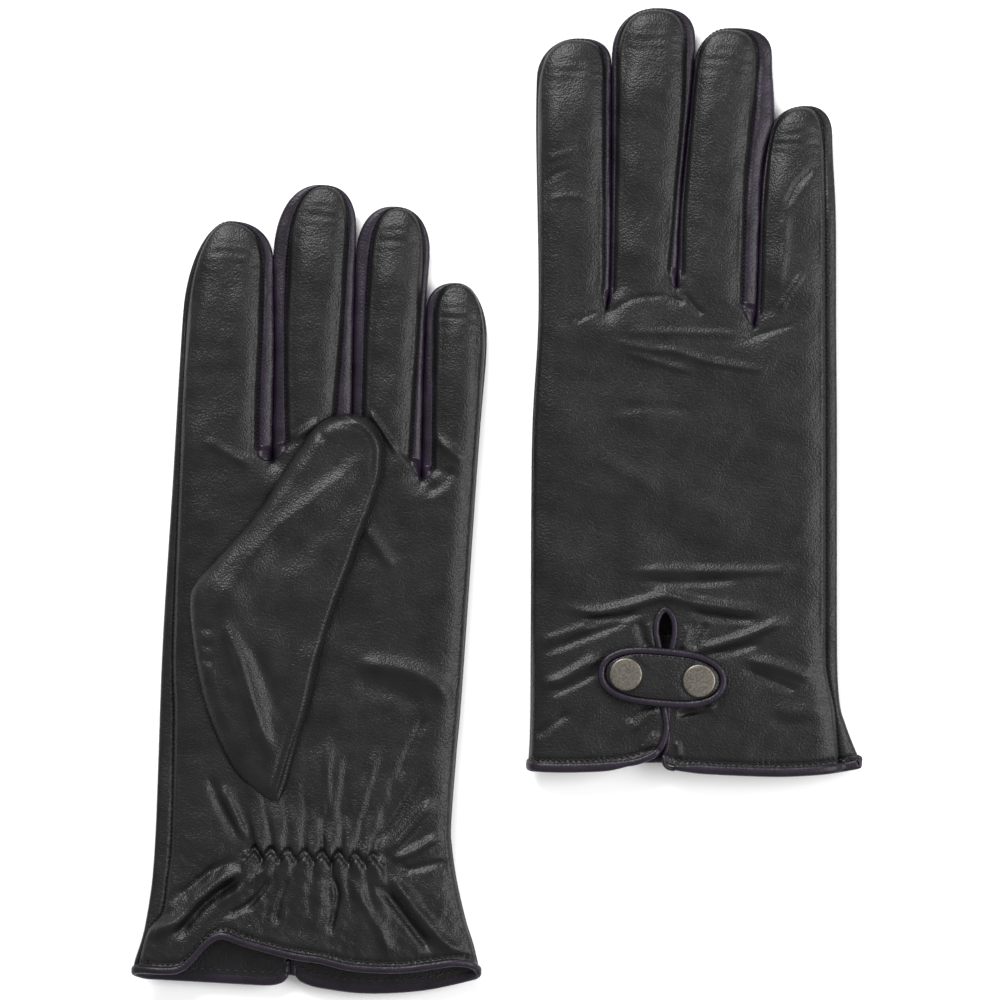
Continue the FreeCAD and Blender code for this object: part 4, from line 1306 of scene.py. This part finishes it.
def scaled_coordinates(nodes, links, scale, turn=0.0):
    place = nodes.new("ShaderNodeTexCoord")
    mapping = nodes.new("ShaderNodeMapping")
    mapping.inputs["Rotation"].default_value = (0, 0, turn)
    mapping.inputs["Scale"].default_value = scale
    links.new(place.outputs["Object"], mapping.inputs["Vector"])
    return mapping.outputs["Vector"]


def noise(nodes, links, vector, scale, detail=3.0):
    texture = nodes.new("ShaderNodeTexNoise")
    texture.inputs["Scale"].default_value = scale
    texture.inputs["Detail"].default_value = detail
    links.new(vector, texture.inputs["Vector"])
    return texture.outputs["Fac"]


def add_bump(nodes, links, shader, heights, strength, distance):
    """Bumps from several (height, weight) textures added together."""
    total = None
    for height, weight in heights:
        scaled = nodes.new("ShaderNodeMath")
        scaled.operation = "MULTIPLY"
        scaled.inputs[1].default_value = weight
        links.new(height, scaled.inputs[0])
        if total is None:
            total = scaled.outputs[0]
            continue
        joined = nodes.new("ShaderNodeMath")
        joined.operation = "ADD"
        links.new(total, joined.inputs[0])
        links.new(scaled.outputs[0], joined.inputs[1])
        total = joined.outputs[0]
    bump = nodes.new("ShaderNodeBump")
    bump.inputs["Strength"].default_value = strength
    bump.inputs["Distance"].default_value = distance * MM
    links.new(total, bump.inputs["Height"])
    links.new(bump.outputs["Normal"], shader.inputs["Normal"])


def mottle(nodes, links, shader, vector, dark, light, scale, low=0.3, high=0.7):
    """Colour that wanders between dark and light in patches."""
    ramp = nodes.new("ShaderNodeMapRange")
    ramp.inputs["From Min"].default_value = low
    ramp.inputs["From Max"].default_value = high
    links.new(noise(nodes, links, vector, scale, 4.0), ramp.inputs["Value"])
    mix = nodes.new("ShaderNodeMix")
    mix.data_type = "RGBA"
    mix.inputs["A"].default_value = (*dark, 1)
    mix.inputs["B"].default_value = (*light, 1)
    links.new(ramp.outputs["Result"], mix.inputs["Factor"])
    links.new(mix.outputs["Result"], shader.inputs["Base Color"])


def leather_material(name, dark, light, roughness, grain=1.0, specular=0.3):
    """Fine-grained dress leather: small pebbles, slanting wrinkles and soft patches of colour."""
    material, nodes, links, shader = new_material(name, light, roughness, specular)
    vector = scaled_coordinates(nodes, links, (1, 1, 1))
    slanting = scaled_coordinates(nodes, links, (1, 2.2, 1), 0.6)
    pebbles = nodes.new("ShaderNodeTexVoronoi")
    pebbles.inputs["Scale"].default_value = 1800
    links.new(vector, pebbles.inputs["Vector"])
    fine = noise(nodes, links, vector, 1300, 4.0)
    wrinkles = noise(nodes, links, slanting, 620, 5.0)
    broad = noise(nodes, links, vector, 120, 3.0)
    heights = [(pebbles.outputs["Distance"], -0.5), (fine, 0.5), (wrinkles, 0.45), (broad, 1.2)]
    add_bump(nodes, links, shader, heights, 0.55 * grain, 0.32)
    mottle(nodes, links, shader, vector, dark, light, 140)
    return material


def knit_material(name):
    material, nodes, links, shader = new_material(name, (0.012, 0.011, 0.012), 0.9, 0.2)
    vector = scaled_coordinates(nodes, links, (1, 1, 1))
    wave = nodes.new("ShaderNodeTexWave")
    wave.inputs["Scale"].default_value = 260
    wave.inputs["Distortion"].default_value = 3.0
    links.new(vector, wave.inputs["Vector"])
    heights = [(wave.outputs["Fac"], 1.0), (noise(nodes, links, vector, 900), 0.7)]
    add_bump(nodes, links, shader, heights, 0.6, 0.2)
    mottle(nodes, links, shader, vector, (0.008, 0.007, 0.008), (0.02, 0.018, 0.02), 500)
    return material


def metal_material(name, dark, light, roughness):
    """Brushed warm gunmetal with fine dark speckles."""
    material, nodes, links, shader = new_material(name, light, roughness, metallic=1.0)
    vector = scaled_coordinates(nodes, links, (1, 1, 1))
    brushed = scaled_coordinates(nodes, links, (0.6, 1.2, 1))
    mottle(nodes, links, shader, vector, dark, light, 2200, 0.35, 0.65)
    heights = [(noise(nodes, links, brushed, 2600), 1.0), (noise(nodes, links, vector, 1400), 0.6)]
    add_bump(nodes, links, shader, heights, 0.25, 0.05)
    return material


def thread_material(name, color):
    material, nodes, links, shader = new_material(name, color, 0.7, 0.3)
    vector = scaled_coordinates(nodes, links, (1, 1, 1))
    add_bump(nodes, links, shader, [(noise(nodes, links, vector, 4000), 1.0)], 0.4, 0.05)
    return material


MATERIALS = {
    "leather": leather_material(
        "black_leather", (0.003, 0.003, 0.0033), (0.0072, 0.0072, 0.0078), 0.36, 1, 0.24),
    # The thumb gets a lighter, slightly glossier copy of the same black leather. This is painted light: the
    # brighter look that the thumb's rounder shape has under the lamps.
    "thumb_leather_painted_lighter": leather_material(
        "black_leather_thumb_painted_lighter", (0.0035, 0.0035, 0.0038), (0.0085, 0.0085, 0.009), 0.35, 1, 0.25),
    "purple": leather_material(
        "purple_leather", (0.0034, 0.0018, 0.0048), (0.0115, 0.0064, 0.0155), 0.38, 0.7, 0.26),
    "knit": knit_material("lining_knit"),
    "gunmetal": metal_material("gunmetal", (0.10, 0.090, 0.076), (0.19, 0.172, 0.15), 0.4),
    "steel": metal_material("plated_steel", (0.25, 0.24, 0.22), (0.42, 0.4, 0.38), 0.35),
    "thread": thread_material("dark_thread", (0.003, 0.003, 0.004)),
    "purple_thread": thread_material("purple_thread", (0.022, 0.014, 0.03)),
}


# ---------------------------------------------------------------- the metal kept from the CAD

def dress_metal():
    for side in SIDES:
        for name in ("popper_socket", "popper_stud", "popper_post", "rivet_post"):
            dress(frame["nodes"][f"{side}_{name}"], "steel")


# ---------------------------------------------------------------- table, light and camera

# Size of the table from its middle, strength of the light all round, and the camera's place:
# 2 m above the middle height of the gloves, in metres, and millimetres from the right cuff
TABLE_HALF = 2
WORLD_STRENGTH = 0.62
CAMERA_HEIGHT = 2.008
CAMERA_FROM_CUFF = (-55.2, 81.0)


def build_room():
    h = TABLE_HALF
    floor = make_mesh("floor", [(-h, -h, 0), (h, -h, 0), (h, h, 0), (-h, h, 0)], [(0, 1, 2, 3)])
    material = new_material("pale_table", (0.95, 0.95, 0.95), 0.9, 0.0)[0]
    floor.data.materials.append(material)
    world = bpy.data.worlds.new("studio")
    world.use_nodes = True
    background = world.node_tree.nodes["Background"]
    background.inputs["Color"].default_value = (1, 1, 1, 1)
    background.inputs["Strength"].default_value = WORLD_STRENGTH
    bpy.context.scene.world = world
    add_light("key", place=(-0.35, 0.95, 0.9), size=0.65, power=25.0)
    add_light("fill", place=(0.85, 0.0, 0.85), size=0.7, power=12.0)
    bpy.context.scene.view_settings.view_transform = "Standard"


def add_light(name, place, size, power):
    light = bpy.data.lights.new(name, "AREA")
    light.size = size
    light.energy = power
    obj = bpy.data.objects.new(name, light)
    obj.location = place
    obj.rotation_euler = (-Vector(place)).to_track_quat("-Z", "Y").to_euler()
    bpy.context.scene.collection.objects.link(obj)


def build_camera():
    """Straight above, framing 300 mm of table."""
    cuff = MOUNTS["right_cuff"]
    camera = bpy.data.cameras.new("camera")
    camera.sensor_width = 36
    camera.lens = 240
    obj = bpy.data.objects.new("camera", camera)
    dx, dy = CAMERA_FROM_CUFF
    obj.location = (cuff[0] + dx * MM, cuff[1] + dy * MM, CAMERA_HEIGHT)
    bpy.context.scene.collection.objects.link(obj)
    bpy.context.scene.camera = obj


for side in SIDES:
    shell = Shell(side)
    build_panels(side, shell)
    build_fourchettes(side, shell)
    build_lining(side, shell)
    build_elastic(side)
    build_hem_binding(side, shell)
    build_slit_binding(side)
    build_stitching(side, shell)
    build_thumb(side)
    build_tab(side)
    build_caps(side)
dress_metal()
build_room()
build_camera()
